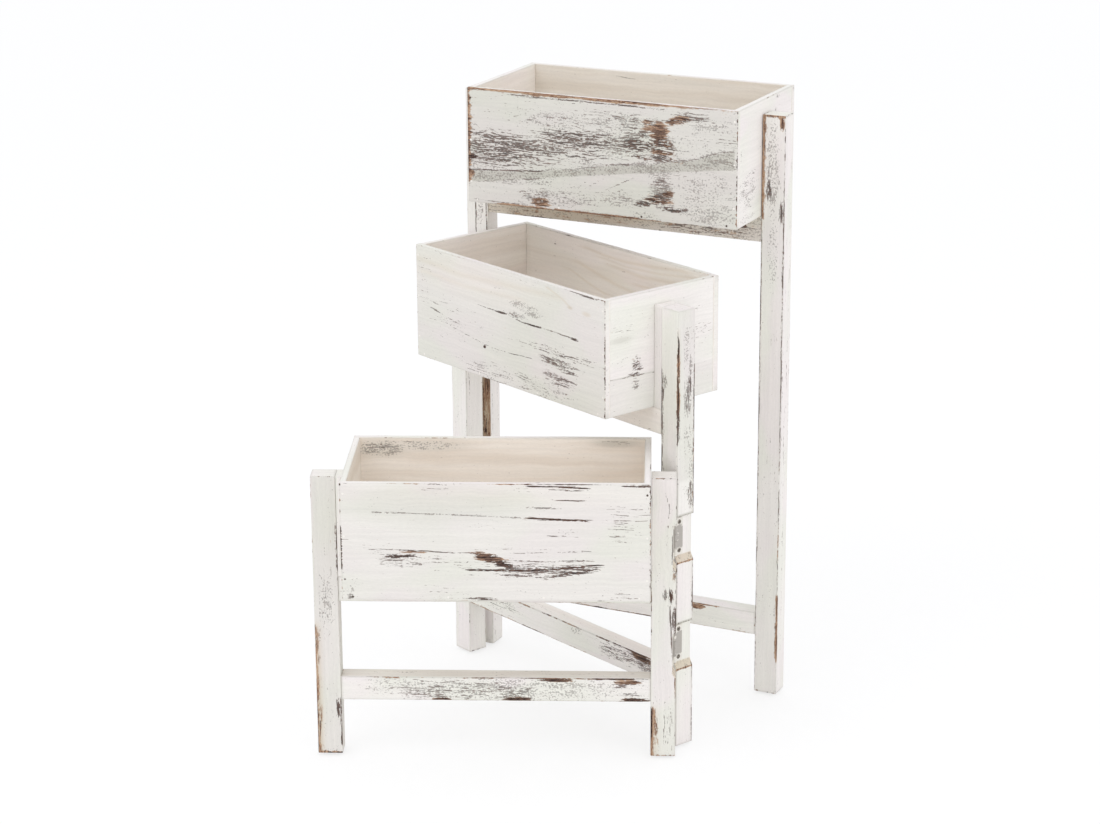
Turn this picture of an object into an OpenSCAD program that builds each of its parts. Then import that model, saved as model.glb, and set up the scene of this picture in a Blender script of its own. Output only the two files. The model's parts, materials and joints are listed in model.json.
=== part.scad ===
// Three-tier folding plant stand: three hinged frames, each with an open planter box.
// Millimetres, +Z up, floor at Z = 0, origin under the middle of the stand as it is set up.
// A frame is drawn with its left outer side at X = 0 and the front of its posts at Y = 0.

/* [Boxes] */
// Length of a planter box, outside
box_w = 360; // [280:5:440]
// Depth of a planter box from front to back, outside
box_d = 180; // [140:5:200]
// Height of a planter box
box_h = 144; // [110:1:160]
// Thickness of the front, back and end boards
board_t = 8; // [6:0.5:10]
// Thickness of the bottom board
bottom_t = 8; // [5:0.5:10]
// Underside of the low box above the floor
low_box_z = 232; // [215:1:240]
// Underside of the middle box above the floor
middle_box_z = 427; // [420:1:440]
// Underside of the tall box above the floor
tall_box_z = 624; // [615:1:680]

/* [Frames] */
// Width of a post, seen from the front
post_w = 30; // [28:0.5:36]
// Depth of a post, seen from the side
post_d = 27; // [24:0.5:32]
// Distance from the box rim down to the top of the posts
post_drop = 18; // [10:1:30]
// Thickness of the spacer between box and post, on the side away from the frame behind
spacer_t = 13; // [11:0.5:20]
// Play between the box and the post on the side without a spacer
seat_play = 0.4; // [0.3:0.1:0.8]
// Height of the rail under a box
upper_rail_h = 32; // [24:1:36]
// Height of the rail near the floor
lower_rail_h = 30; // [24:1:36]
// Thickness of both rails, front to back
rail_d = 25; // [20:0.5:27]
// Underside of the lower rails of the low and the middle frame above the floor
lower_rail_z = 73; // [60:1:90]
// Underside of the lower rail of the tall frame above the floor
tall_lower_rail_z = 79; // [60:1:90]

/* [Set-up angles] */
// Angle between the low and the middle frame as the stand is set up, 0 is folded flat
low_angle = 48; // [20:1:85]
// Angle between the middle and the tall frame as the stand is set up
tall_angle = 24; // [15:1:60]

/* [Hinges] */
// Gap between two frames when they are folded flat
fold_gap = 3.6; // [3.4:0.1:5]
// Depth of the recess for a hinge leaf in the side of a post
recess_depth = 4; // [3.5:0.1:4.2]
// Height of the recess, without its sloping lower end
recess_h = 51; // [50:0.5:56]
// Height of the sloping lower end of the recess
recess_slope = 7; // [3:0.5:12]
// Distance from the top of the leaf up to the top of the recess
recess_head = 2; // [1:0.5:4]
// Height of a hinge leaf
leaf_h = 46; // [38:1:48]
// Width of a leaf, from the pin axis to its free edge
leaf_w = 13; // [11:0.5:18]
// Thickness of the leaf plate
leaf_t = 1.5; // [1.2:0.1:1.8]
// Outer diameter of the hinge barrel
barrel_dia = 4.8; // [4.4:0.1:5.2]
// Diameter of the hinge pin
pin_dia = 2.8; // [2.4:0.1:3]
// Radial play between pin and barrel
pin_play = 0.05; // [0.03:0.01:0.08]
// Number of knuckles in the barrel
knuckles = 5; // [3:2:7]
// Gap between two knuckles, and round a knuckle in the other leaf
knuckle_gap = 0.3; // [0.2:0.05:0.5]
// Diameter of the heads of the hinge pin
pin_head_dia = 4.4; // [4:0.1:4.8]
// Height of a pin head
pin_head_h = 1; // [0.6:0.1:1.5]
// Middle of the lower hinge of each pair above the floor
lower_hinge_z = 137; // [137:1:160]
// Middle of the upper hinge of each pair below the top of the lower one of its two posts
upper_hinge_drop = 84; // [50:1:130]

/* [Hinge screws] */
// Distance between the two screws of a leaf
hinge_screw_spacing = 36; // [28:1:36]
// Distance of the screws from the pin axis
hinge_screw_offset = 7.5; // [7:0.25:8.5]
// Diameter of a hinge screw
hinge_screw_dia = 3; // [2.5:0.1:3.2]
// Diameter of its countersunk head
hinge_screw_head = 5.8; // [5:0.1:6]
// Length of a hinge screw
hinge_screw_len = 14; // [10:0.5:18]

/* [Box fixings] */
// Diameter of the screws that hold a box to its posts
box_screw_dia = 3.5; // [3:0.1:4]
// Diameter of their round heads
box_screw_head = 7; // [6:0.1:8]
// Height of their heads
box_screw_head_h = 2.2; // [1.8:0.1:3]
// How deep these screws go into the post
box_screw_bite = 17; // [12:1:18]
// Height of the lower screw above the box underside
box_screw_low = 40; // [30:1:40]
// Distance of the upper screw below the top of the post
box_screw_drop = 28; // [20:1:30]
// Diameter of the box nails
nail_dia = 1.4; // [1.2:0.1:1.6]
// Diameter of the nail heads
nail_head_dia = 2.6; // [2.2:0.1:3]
// Height of the nail heads
nail_head_h = 0.8; // [0.6:0.1:1]
// Length of the box nails
nail_len = 26; // [22:1:32]
// Distance of the outermost nails from the corners of the box
nail_inset = 13; // [12.5:0.5:16]
// Number of nails up each corner
corner_nails = 3; // [2:1:4]
// Number of nails along the bottom of a long board
bottom_nails = 4; // [3:1:6]

/* [Dowels] */
// Diameter of the dowels that join rails and posts
dowel_dia = 6; // [5:0.5:8]
// Length of a dowel
dowel_len = 30; // [24:1:34]
// Distance between the two dowels of a joint
dowel_spacing = 14; // [10:1:15]

/* [Glides] */
// Diameter of a nail-on glide
glide_dia = 12; // [10:0.5:16]
// Height of a glide under the post
glide_h = 3; // [2:0.5:5]
// Diameter of the flat underside of a glide
glide_foot_dia = 9; // [7:0.5:10]
// Diameter of the nail of a glide
glide_nail_dia = 1.8; // [1.5:0.1:2.5]
// Length of that nail inside the post
glide_nail_len = 12; // [8:1:18]

/* [Fits] */
// Radial play of screws, nails and dowels in their holes
hole_play = 0.05; // [0.03:0.01:0.1]

/* [Hidden] */
$fn = 32;

PAINT = "#e9e5de";
RAW_WOOD = "#c9a877";
STEEL = "#9b9590";
GLIDE = "#5b4636";

LOW = 0;
MIDDLE = 1;
TALL = 2;
box_z = [low_box_z, middle_box_z, tall_box_z];
rail_z = [lower_rail_z, lower_rail_z, tall_lower_rail_z];
function post_top(tier) = box_z[tier] + box_h - post_drop;
// The hinge at the front edge of the left post and the one at the rear edge of the right post,
// before the middle frame is mirrored: heights of the hinges there, empty where there is none.
right_pair = [lower_hinge_z, post_top(LOW) - upper_hinge_drop];
left_pair = [lower_hinge_z, post_top(MIDDLE) - upper_hinge_drop];
front_hinges = [[], right_pair, left_pair];
rear_hinges = [right_pair, left_pair, []];

// Frame and box outlines in plan
frame_w = 2 * post_w + spacer_t + box_w + seat_play;
rail_len = frame_w - 2 * post_w;
rail_y = (post_d - rail_d) / 2;
box_x = post_w + spacer_t;
box_y = (post_d - box_d) / 2;
cut = 1;

// Hinge axis, measured from the outer side of a post inwards and from its face outwards
barrel_r = barrel_dia / 2;
axis_in = recess_depth - barrel_r;
axis_out = fold_gap / 2;
front_axis = [axis_in, -axis_out];
rear_axis = [frame_w - axis_in, post_d + axis_out];

// Plan position of a point of each frame, before the stand is centred on the origin.
// The middle frame is mirrored, so its own X runs the other way.
function turned(p, a) = [p[0] * cos(a) - p[1] * sin(a), p[0] * sin(a) + p[1] * cos(a)];
function flipped(p) = [frame_w - p[0], p[1]];
function low_at(p) = p - rear_axis;
function middle_at(p) = turned(flipped(p) - flipped(front_axis), -low_angle);
function tall_at(p) = middle_at(rear_axis) + turned(p - front_axis, tall_angle - low_angle);

frame_corners = [
    for (x = [0, frame_w], y = [0, post_d]) [x, y],
    for (x = [box_x, box_x + box_w], y = [box_y, box_y + box_d]) [x, y]
];
plan = [
    for (p = frame_corners) low_at(p),
    for (p = frame_corners) middle_at(p),
    for (p = frame_corners) tall_at(p)
];
plan_x = [for (p = plan) p[0]];
plan_y = [for (p = plan) p[1]];
plan_mid = [(min(plan_x) + max(plan_x)) / 2, (min(plan_y) + max(plan_y)) / 2];

// Places a piece of one frame where that frame stands
module stand(tier) {
    translate([-plan_mid[0], -plan_mid[1], 0]) {
        if (tier == LOW) {
            translate([-rear_axis[0], -rear_axis[1], 0]) children();
        }
        if (tier == MIDDLE) {
            rotate([0, 0, -low_angle])
                translate([-flipped(front_axis)[0], -front_axis[1], 0])
                    translate([frame_w, 0, 0]) mirror([1, 0, 0]) children();
        }
        if (tier == TALL) {
            translate([middle_at(rear_axis)[0], middle_at(rear_axis)[1], 0])
                rotate([0, 0, tall_angle - low_angle])
                    translate([-front_axis[0], -front_axis[1], 0]) children();
        }
    }
}

// A round bar along +X, +Y or +Z from a point
module along_x(from, r, len) {
    translate(from) rotate([0, 90, 0]) cylinder(r = r, h = len);
}
module along_y(from, r, len) {
    translate(from) rotate([-90, 0, 0]) cylinder(r = r, h = len);
}

// Places of the fixings in a frame
dowel_z = [for (s = [-1, 1]) s * dowel_spacing / 2];
function rail_mid_z(tier) = [rail_z[tier] + lower_rail_h / 2, box_z[tier] - upper_rail_h / 2];
box_screw_z = [box_screw_low, box_h - post_drop - box_screw_drop];
box_screw_y = post_d / 2;
corner_nail_z = [
    for (i = [0 : corner_nails - 1]) 2 * nail_inset + i * (box_h - 3 * nail_inset) / (corner_nails - 1)
];
bottom_nail_x = [
    for (i = [0 : bottom_nails - 1]) nail_inset + i * (box_w - 2 * nail_inset) / (bottom_nails - 1)
];
glide_x = [post_w / 2, frame_w - post_w / 2];

// The eight dowels of a frame, grown by a play for their holes
module dowel_set(tier, play) {
    for (z = rail_mid_z(tier), dz = dowel_z, x = [post_w, frame_w - post_w])
        along_x([x - dowel_len / 2 - play, post_d / 2, z + dz], dowel_dia / 2 + play, dowel_len + 2 * play);
}

// Box screws: heads inside the box, points in the posts
module box_screw(len, play) {
    cylinder(r = box_screw_dia / 2 + play, h = len + play);
    translate([0, 0, -box_screw_head_h]) cylinder(r = box_screw_head / 2 + play, h = box_screw_head_h);
}
module box_screw_set(tier, play) {
    spacer_len = board_t + spacer_t + box_screw_bite;
    bare_len = board_t + seat_play + box_screw_bite;
    for (z = box_screw_z) {
        translate([box_x + board_t, box_screw_y, box_z[tier] + z])
            rotate([0, -90, 0]) box_screw(spacer_len, play);
        translate([box_x + box_w - board_t, box_screw_y, box_z[tier] + z])
            rotate([0, 90, 0]) box_screw(bare_len, play);
    }
}

// Box nails: through the long boards into the ends and into the bottom
module nail(play) {
    cylinder(r = nail_dia / 2 + play, h = nail_len + play);
    cylinder(r = nail_head_dia / 2 + play, h = nail_head_h);
}
module nail_set(tier, play) {
    for (side = [0, 1]) {
        y = box_y + side * box_d;
        turn = side == 0 ? -90 : 90;
        for (z = corner_nail_z, x = [board_t / 2, box_w - board_t / 2])
            translate([box_x + x, y, box_z[tier] + z]) rotate([turn, 0, 0]) nail(play);
        for (x = bottom_nail_x)
            translate([box_x + x, y, box_z[tier] + bottom_t / 2]) rotate([turn, 0, 0]) nail(play);
    }
}

// Hinge screws with a cross recess, pointing along -X into the wood, head face at X = 0
module hinge_screw(play) {
    rotate([0, -90, 0]) {
        cylinder(r1 = hinge_screw_head / 2 + play, r2 = hinge_screw_dia / 2 + play, h = leaf_t);
        cylinder(r = hinge_screw_dia / 2 + play, h = hinge_screw_len + play);
    }
}
module cross_recess() {
    slot = hinge_screw_head / 6;
    reach = hinge_screw_head * 0.55;
    for (a = [0, 90])
        rotate([a, 0, 0]) cube([leaf_t, slot, reach], center = true);
}
// The screws of one leaf: outward is +X from the pin axis, the leaf reaches along +Y
module leaf_screws(play) {
    for (z = [-1, 1])
        translate([leaf_t - barrel_r, hinge_screw_offset, z * hinge_screw_spacing / 2]) hinge_screw(play);
}
module cut_leaf_screws() {
    difference() {
        leaf_screws(0);
        for (z = [-1, 1])
            translate([leaf_t - barrel_r, hinge_screw_offset, z * hinge_screw_spacing / 2]) cross_recess();
    }
}

// Puts a leaf on the left post (axis in front of it) or on the right post (axis behind it)
module on_left_post(z) {
    translate([front_axis[0], front_axis[1], z]) mirror([1, 0, 0]) children();
}
module on_right_post(z) {
    translate([rear_axis[0], rear_axis[1], z]) mirror([0, 1, 0]) children();
}

// Recess in the side of a post at X = 0: square at the top, sloping out at the bottom
module recess(z) {
    top = z + leaf_h / 2 + recess_head;
    floor_z = top - recess_h;
    translate([0, post_d + cut, 0]) rotate([90, 0, 0]) linear_extrude(post_d + 2 * cut)
        polygon([
            [-cut, top], [recess_depth, top], [recess_depth, floor_z],
            [0, floor_z - recess_slope], [-cut, floor_z - recess_slope]
        ]);
}

// One post, drawn at the left: hinge recesses in its outer side, holes for what it holds
module post_blank(tier) {
    translate([0, 0, glide_h]) cube([post_w, post_d, post_top(tier) - glide_h]);
}
module glide_nail_hole(x) {
    translate([x, post_d / 2, glide_h - cut])
        cylinder(r = glide_nail_dia / 2 + hole_play, h = glide_nail_len + hole_play + cut);
}
module left_post(tier) {
    color(PAINT) difference() {
        post_blank(tier);
        for (z = front_hinges[tier]) {
            recess(z);
            on_left_post(z) leaf_screws(hole_play);
        }
        dowel_set(tier, hole_play);
        box_screw_set(tier, hole_play);
        glide_nail_hole(glide_x[0]);
    }
}
module right_post(tier) {
    color(PAINT) difference() {
        translate([frame_w - post_w, 0, 0]) post_blank(tier);
        for (z = rear_hinges[tier]) {
            translate([frame_w, 0, 0]) mirror([1, 0, 0]) recess(z);
            on_right_post(z) leaf_screws(hole_play);
        }
        dowel_set(tier, hole_play);
        box_screw_set(tier, hole_play);
        glide_nail_hole(glide_x[1]);
    }
}

module upper_rail(tier) {
    color(PAINT) difference() {
        translate([post_w, rail_y, box_z[tier] - upper_rail_h]) cube([rail_len, rail_d, upper_rail_h]);
        dowel_set(tier, hole_play);
    }
}
module lower_rail(tier) {
    color(PAINT) difference() {
        translate([post_w, rail_y, rail_z[tier]]) cube([rail_len, rail_d, lower_rail_h]);
        dowel_set(tier, hole_play);
    }
}
module spacer(tier) {
    color(PAINT) difference() {
        translate([post_w, 0, box_z[tier]]) cube([spacer_t, post_d, box_h - post_drop]);
        box_screw_set(tier, hole_play);
    }
}

// Box boards: the front and back lap over the ends, the bottom lies between all four
module long_board(tier, y) {
    color(PAINT) difference() {
        translate([box_x, y, box_z[tier]]) cube([box_w, board_t, box_h]);
        nail_set(tier, hole_play);
    }
}
module box_front(tier) {
    long_board(tier, box_y);
}
module box_back(tier) {
    long_board(tier, box_y + box_d - board_t);
}
module end_board(tier, x) {
    color(PAINT) difference() {
        translate([x, box_y + board_t, box_z[tier]]) cube([board_t, box_d - 2 * board_t, box_h]);
        nail_set(tier, hole_play);
        box_screw_set(tier, hole_play);
    }
}
module spacer_end(tier) {
    end_board(tier, box_x);
}
module bare_end(tier) {
    end_board(tier, box_x + box_w - board_t);
}
module box_bottom(tier) {
    color(PAINT) difference() {
        translate([box_x + board_t, box_y + board_t, box_z[tier]])
            cube([box_w - 2 * board_t, box_d - 2 * board_t, bottom_t]);
        nail_set(tier, hole_play);
    }
}

module dowels(tier) {
    color(RAW_WOOD) dowel_set(tier, 0);
}
module box_nails(tier) {
    color(STEEL) nail_set(tier, 0);
}
module box_screws(tier) {
    color(STEEL) box_screw_set(tier, 0);
}
module glides(tier) {
    color(GLIDE) for (x = glide_x) translate([x, post_d / 2, 0]) {
        cylinder(r1 = glide_foot_dia / 2, r2 = glide_dia / 2, h = glide_h / 2);
        translate([0, 0, glide_h / 2]) cylinder(r = glide_dia / 2, h = glide_h / 2);
        translate([0, 0, glide_h / 2]) cylinder(r = glide_nail_dia / 2, h = glide_h / 2 + glide_nail_len);
    }
}

// Hinge leaf round an upright pin axis: the plate lies against the recess floor
pitch = leaf_h / knuckles;
bore_r = pin_dia / 2 + pin_play;
// True for the knuckles of the middle frame's leaf, which are the outermost ones
function is_outer(i) = i % 2 == 0;
module knuckle_span(i, grow) {
    z0 = -leaf_h / 2 + i * pitch + (i == 0 ? 0 : knuckle_gap / 2) - grow;
    z1 = -leaf_h / 2 + (i + 1) * pitch - (i == knuckles - 1 ? 0 : knuckle_gap / 2) + grow;
    translate([0, 0, z0]) linear_extrude(z1 - z0) children();
}
module leaf(outer) {
    color(STEEL) difference() {
        union() {
            translate([-barrel_r, 0, -leaf_h / 2]) cube([leaf_t, leaf_w, leaf_h]);
            for (i = [0 : knuckles - 1])
                if (is_outer(i) == outer) knuckle_span(i, 0) circle(r = barrel_r);
        }
        for (i = [0 : knuckles - 1]) {
            if (is_outer(i) != outer)
                knuckle_span(i, knuckle_gap)
                    translate([-barrel_r - cut, -barrel_r - cut])
                        square([2 * (barrel_r + cut), 2 * barrel_r + cut + knuckle_gap]);
        }
        translate([0, 0, -leaf_h / 2 - cut]) cylinder(r = bore_r, h = leaf_h + 2 * cut);
        leaf_screws(hole_play);
    }
}
module pin(z) {
    color(STEEL) translate([0, 0, z]) {
        translate([0, 0, -leaf_h / 2]) cylinder(r = pin_dia / 2, h = leaf_h);
        translate([0, 0, leaf_h / 2]) cylinder(r = pin_head_dia / 2, h = pin_head_h);
        translate([0, 0, -leaf_h / 2 - pin_head_h]) cylinder(r = pin_head_dia / 2, h = pin_head_h);
    }
}
// The middle frame is mirrored, so its left post is the one drawn at the right, and so on
module right_hinge_low_leaf(z) {
    stand(LOW) on_right_post(z) leaf(false);
}
module right_hinge_middle_leaf(z) {
    stand(MIDDLE) on_left_post(z) leaf(true);
}
module right_hinge_pin(z) {
    stand(MIDDLE) translate([front_axis[0], front_axis[1], 0]) pin(z);
}
module left_hinge_middle_leaf(z) {
    stand(MIDDLE) on_right_post(z) leaf(true);
}
module left_hinge_tall_leaf(z) {
    stand(TALL) on_left_post(z) leaf(false);
}
module left_hinge_pin(z) {
    stand(MIDDLE) translate([rear_axis[0], rear_axis[1], 0]) pin(z);
}
module hinge_screws(tier) {
    color(STEEL) stand(tier) {
        for (z = front_hinges[tier]) on_left_post(z) cut_leaf_screws();
        for (z = rear_hinges[tier]) on_right_post(z) cut_leaf_screws();
    }
}

module low_left_post() { stand(LOW) left_post(LOW); }
module low_right_post() { stand(LOW) right_post(LOW); }
module low_upper_rail() { stand(LOW) upper_rail(LOW); }
module low_lower_rail() { stand(LOW) lower_rail(LOW); }
module low_spacer() { stand(LOW) spacer(LOW); }
module low_box_front() { stand(LOW) box_front(LOW); }
module low_box_back() { stand(LOW) box_back(LOW); }
module low_box_left_end() { stand(LOW) spacer_end(LOW); }
module low_box_right_end() { stand(LOW) bare_end(LOW); }
module low_box_bottom() { stand(LOW) box_bottom(LOW); }
module low_dowels() { stand(LOW) dowels(LOW); }
module low_box_nails() { stand(LOW) box_nails(LOW); }
module low_box_screws() { stand(LOW) box_screws(LOW); }
module low_glides() { stand(LOW) glides(LOW); }

module middle_left_post() { stand(MIDDLE) right_post(MIDDLE); }
module middle_right_post() { stand(MIDDLE) left_post(MIDDLE); }
module middle_upper_rail() { stand(MIDDLE) upper_rail(MIDDLE); }
module middle_lower_rail() { stand(MIDDLE) lower_rail(MIDDLE); }
module middle_spacer() { stand(MIDDLE) spacer(MIDDLE); }
module middle_box_front() { stand(MIDDLE) box_front(MIDDLE); }
module middle_box_back() { stand(MIDDLE) box_back(MIDDLE); }
module middle_box_left_end() { stand(MIDDLE) bare_end(MIDDLE); }
module middle_box_right_end() { stand(MIDDLE) spacer_end(MIDDLE); }
module middle_box_bottom() { stand(MIDDLE) box_bottom(MIDDLE); }
module middle_dowels() { stand(MIDDLE) dowels(MIDDLE); }
module middle_box_nails() { stand(MIDDLE) box_nails(MIDDLE); }
module middle_box_screws() { stand(MIDDLE) box_screws(MIDDLE); }
module middle_glides() { stand(MIDDLE) glides(MIDDLE); }

module tall_left_post() { stand(TALL) left_post(TALL); }
module tall_right_post() { stand(TALL) right_post(TALL); }
module tall_upper_rail() { stand(TALL) upper_rail(TALL); }
module tall_lower_rail() { stand(TALL) lower_rail(TALL); }
module tall_spacer() { stand(TALL) spacer(TALL); }
module tall_box_front() { stand(TALL) box_front(TALL); }
module tall_box_back() { stand(TALL) box_back(TALL); }
module tall_box_left_end() { stand(TALL) spacer_end(TALL); }
module tall_box_right_end() { stand(TALL) bare_end(TALL); }
module tall_box_bottom() { stand(TALL) box_bottom(TALL); }
module tall_dowels() { stand(TALL) dowels(TALL); }
module tall_box_nails() { stand(TALL) box_nails(TALL); }
module tall_box_screws() { stand(TALL) box_screws(TALL); }
module tall_glides() { stand(TALL) glides(TALL); }

module right_lower_hinge_low_leaf() { right_hinge_low_leaf(right_pair[0]); }
module right_lower_hinge_middle_leaf() { right_hinge_middle_leaf(right_pair[0]); }
module right_lower_hinge_pin() { right_hinge_pin(right_pair[0]); }
module right_upper_hinge_low_leaf() { right_hinge_low_leaf(right_pair[1]); }
module right_upper_hinge_middle_leaf() { right_hinge_middle_leaf(right_pair[1]); }
module right_upper_hinge_pin() { right_hinge_pin(right_pair[1]); }
module left_lower_hinge_middle_leaf() { left_hinge_middle_leaf(left_pair[0]); }
module left_lower_hinge_tall_leaf() { left_hinge_tall_leaf(left_pair[0]); }
module left_lower_hinge_pin() { left_hinge_pin(left_pair[0]); }
module left_upper_hinge_middle_leaf() { left_hinge_middle_leaf(left_pair[1]); }
module left_upper_hinge_tall_leaf() { left_hinge_tall_leaf(left_pair[1]); }
module left_upper_hinge_pin() { left_hinge_pin(left_pair[1]); }
module low_hinge_screws() { hinge_screws(LOW); }
module middle_hinge_screws() { hinge_screws(MIDDLE); }
module tall_hinge_screws() { hinge_screws(TALL); }

low_left_post();
low_right_post();
low_upper_rail();
low_lower_rail();
low_spacer();
low_box_front();
low_box_back();
low_box_left_end();
low_box_right_end();
low_box_bottom();
low_dowels();
low_box_nails();
low_box_screws();
low_glides();
middle_left_post();
middle_right_post();
middle_upper_rail();
middle_lower_rail();
middle_spacer();
middle_box_front();
middle_box_back();
middle_box_left_end();
middle_box_right_end();
middle_box_bottom();
middle_dowels();
middle_box_nails();
middle_box_screws();
middle_glides();
tall_left_post();
tall_right_post();
tall_upper_rail();
tall_lower_rail();
tall_spacer();
tall_box_front();
tall_box_back();
tall_box_left_end();
tall_box_right_end();
tall_box_bottom();
tall_dowels();
tall_box_nails();
tall_box_screws();
tall_glides();
right_lower_hinge_low_leaf();
right_lower_hinge_middle_leaf();
right_lower_hinge_pin();
right_upper_hinge_low_leaf();
right_upper_hinge_middle_leaf();
right_upper_hinge_pin();
left_lower_hinge_middle_leaf();
left_lower_hinge_tall_leaf();
left_lower_hinge_pin();
left_upper_hinge_middle_leaf();
left_upper_hinge_tall_leaf();
left_upper_hinge_pin();
low_hinge_screws();
middle_hinge_screws();
tall_hinge_screws();
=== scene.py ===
import json
import math
from functools import partial

import bpy
import numpy as np
from mathutils import Euler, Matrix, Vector

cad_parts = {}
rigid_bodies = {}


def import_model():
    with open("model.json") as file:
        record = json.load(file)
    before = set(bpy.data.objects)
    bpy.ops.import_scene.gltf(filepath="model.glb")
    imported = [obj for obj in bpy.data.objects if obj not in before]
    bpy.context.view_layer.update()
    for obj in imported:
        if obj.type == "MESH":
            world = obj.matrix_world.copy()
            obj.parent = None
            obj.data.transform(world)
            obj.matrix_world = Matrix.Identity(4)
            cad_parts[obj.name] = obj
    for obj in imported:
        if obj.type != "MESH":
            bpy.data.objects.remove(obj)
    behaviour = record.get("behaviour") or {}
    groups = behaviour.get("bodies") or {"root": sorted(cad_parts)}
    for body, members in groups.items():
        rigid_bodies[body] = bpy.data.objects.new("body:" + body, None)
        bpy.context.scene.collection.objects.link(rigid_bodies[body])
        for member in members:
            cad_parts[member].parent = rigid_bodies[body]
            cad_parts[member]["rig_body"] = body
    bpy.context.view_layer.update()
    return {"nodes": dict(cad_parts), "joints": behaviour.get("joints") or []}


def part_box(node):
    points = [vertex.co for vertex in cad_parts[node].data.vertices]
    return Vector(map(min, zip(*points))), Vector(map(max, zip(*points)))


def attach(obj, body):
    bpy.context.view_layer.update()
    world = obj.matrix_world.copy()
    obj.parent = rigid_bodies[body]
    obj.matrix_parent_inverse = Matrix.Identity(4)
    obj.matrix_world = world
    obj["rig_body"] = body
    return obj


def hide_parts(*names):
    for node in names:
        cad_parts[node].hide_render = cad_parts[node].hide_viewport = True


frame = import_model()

mm = 0.001
quarterTurn = math.pi / 2
print("frame loaded:", len(frame["nodes"]), "nodes")

# the three frames stand turned about the vertical: the joints' lower ends are the folded stand
jointLow = {joint["name"]: joint["range_deg"][0] for joint in frame["joints"]}
frameTurn = {
    "low": 0.0,
    "middle": jointLow["low_frame_fold"],
    "tall": jointLow["low_frame_fold"] - jointLow["tall_frame_fold"],
}


def newObject(name, data):
    thing = bpy.data.objects.new(name, data)
    bpy.context.scene.collection.objects.link(thing)
    return thing


# camera: the photograph's viewpoint, found by a fit to the stand's corners
cameraView = {
    "place": (0.1238, -3.47205, 1.471),  # metres
    "yaw": -2.22,                        # degrees, to the right is positive
    "pitch": 17.42,                      # degrees below the horizon
    "roll": -0.368,
    "lens": 96.504,                      # mm on a 36 mm wide sensor
    "sensor": 36.0,
}


def setUpCamera(view):
    # turned about the vertical by the yaw, tipped down by the pitch, then rolled about its own line of sight
    camera = newObject("camera", bpy.data.cameras.new("camera"))
    camera.data.lens = view["lens"]
    camera.data.sensor_width = view["sensor"]
    camera.data.sensor_fit = "HORIZONTAL"
    heading = Euler((0, 0, math.radians(-view["yaw"]))).to_matrix()
    tip = Euler((math.radians(90 - view["pitch"]), 0, 0)).to_matrix()
    roll = Euler((0, 0, math.radians(view["roll"]))).to_matrix()
    camera.matrix_world = (heading @ tip @ roll).to_4x4()
    camera.location = view["place"]
    bpy.context.scene.camera = camera


setUpCamera(cameraView)
print("camera set")


# colours are written as sRGB hex and become linear here
def linear(hexColour):
    channels = np.array([int(hexColour[i:i + 2], 16) for i in (1, 3, 5)]) / 255
    return (*np.where(channels <= 0.04045, channels / 12.92, ((channels + 0.055) / 1.055) ** 2.4), 1.0)


def newMaterial(name):
    material = bpy.data.materials.new(name)
    material.use_nodes = True
    material.node_tree.nodes.clear()
    return material


def addNode(tree, kind, inputs=None, **settings):
    # adds one node; inputs maps a socket's name or number to a value or to another node's output
    node = tree.nodes.new(kind)
    for key, value in settings.items():
        setattr(node, key, value)
    for key, value in (inputs or {}).items():
        if isinstance(value, bpy.types.NodeSocket):
            tree.links.new(value, node.inputs[key])
        else:
            node.inputs[key].default_value = value
    return node


def calculated(tree, operation, *values):
    return addNode(tree, "ShaderNodeMath", dict(enumerate(values)), operation=operation).outputs[0]


def mapped(tree, value, low, high, toLow=0.0, toHigh=1.0, **settings):
    # low becomes toLow, high becomes toHigh, and what lies outside stays at the nearer end
    return addNode(tree, "ShaderNodeMapRange", {
        "Value": value, "From Min": low, "From Max": high, "To Min": toLow, "To Max": toHigh},
        **settings).outputs["Result"]


def blended(tree, share, first, second):
    # 6, 7 and 2 are the numbers of the Mix node's colour sockets
    return addNode(tree, "ShaderNodeMix", {0: share, 6: first, 7: second}, data_type="RGBA").outputs[2]


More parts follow.
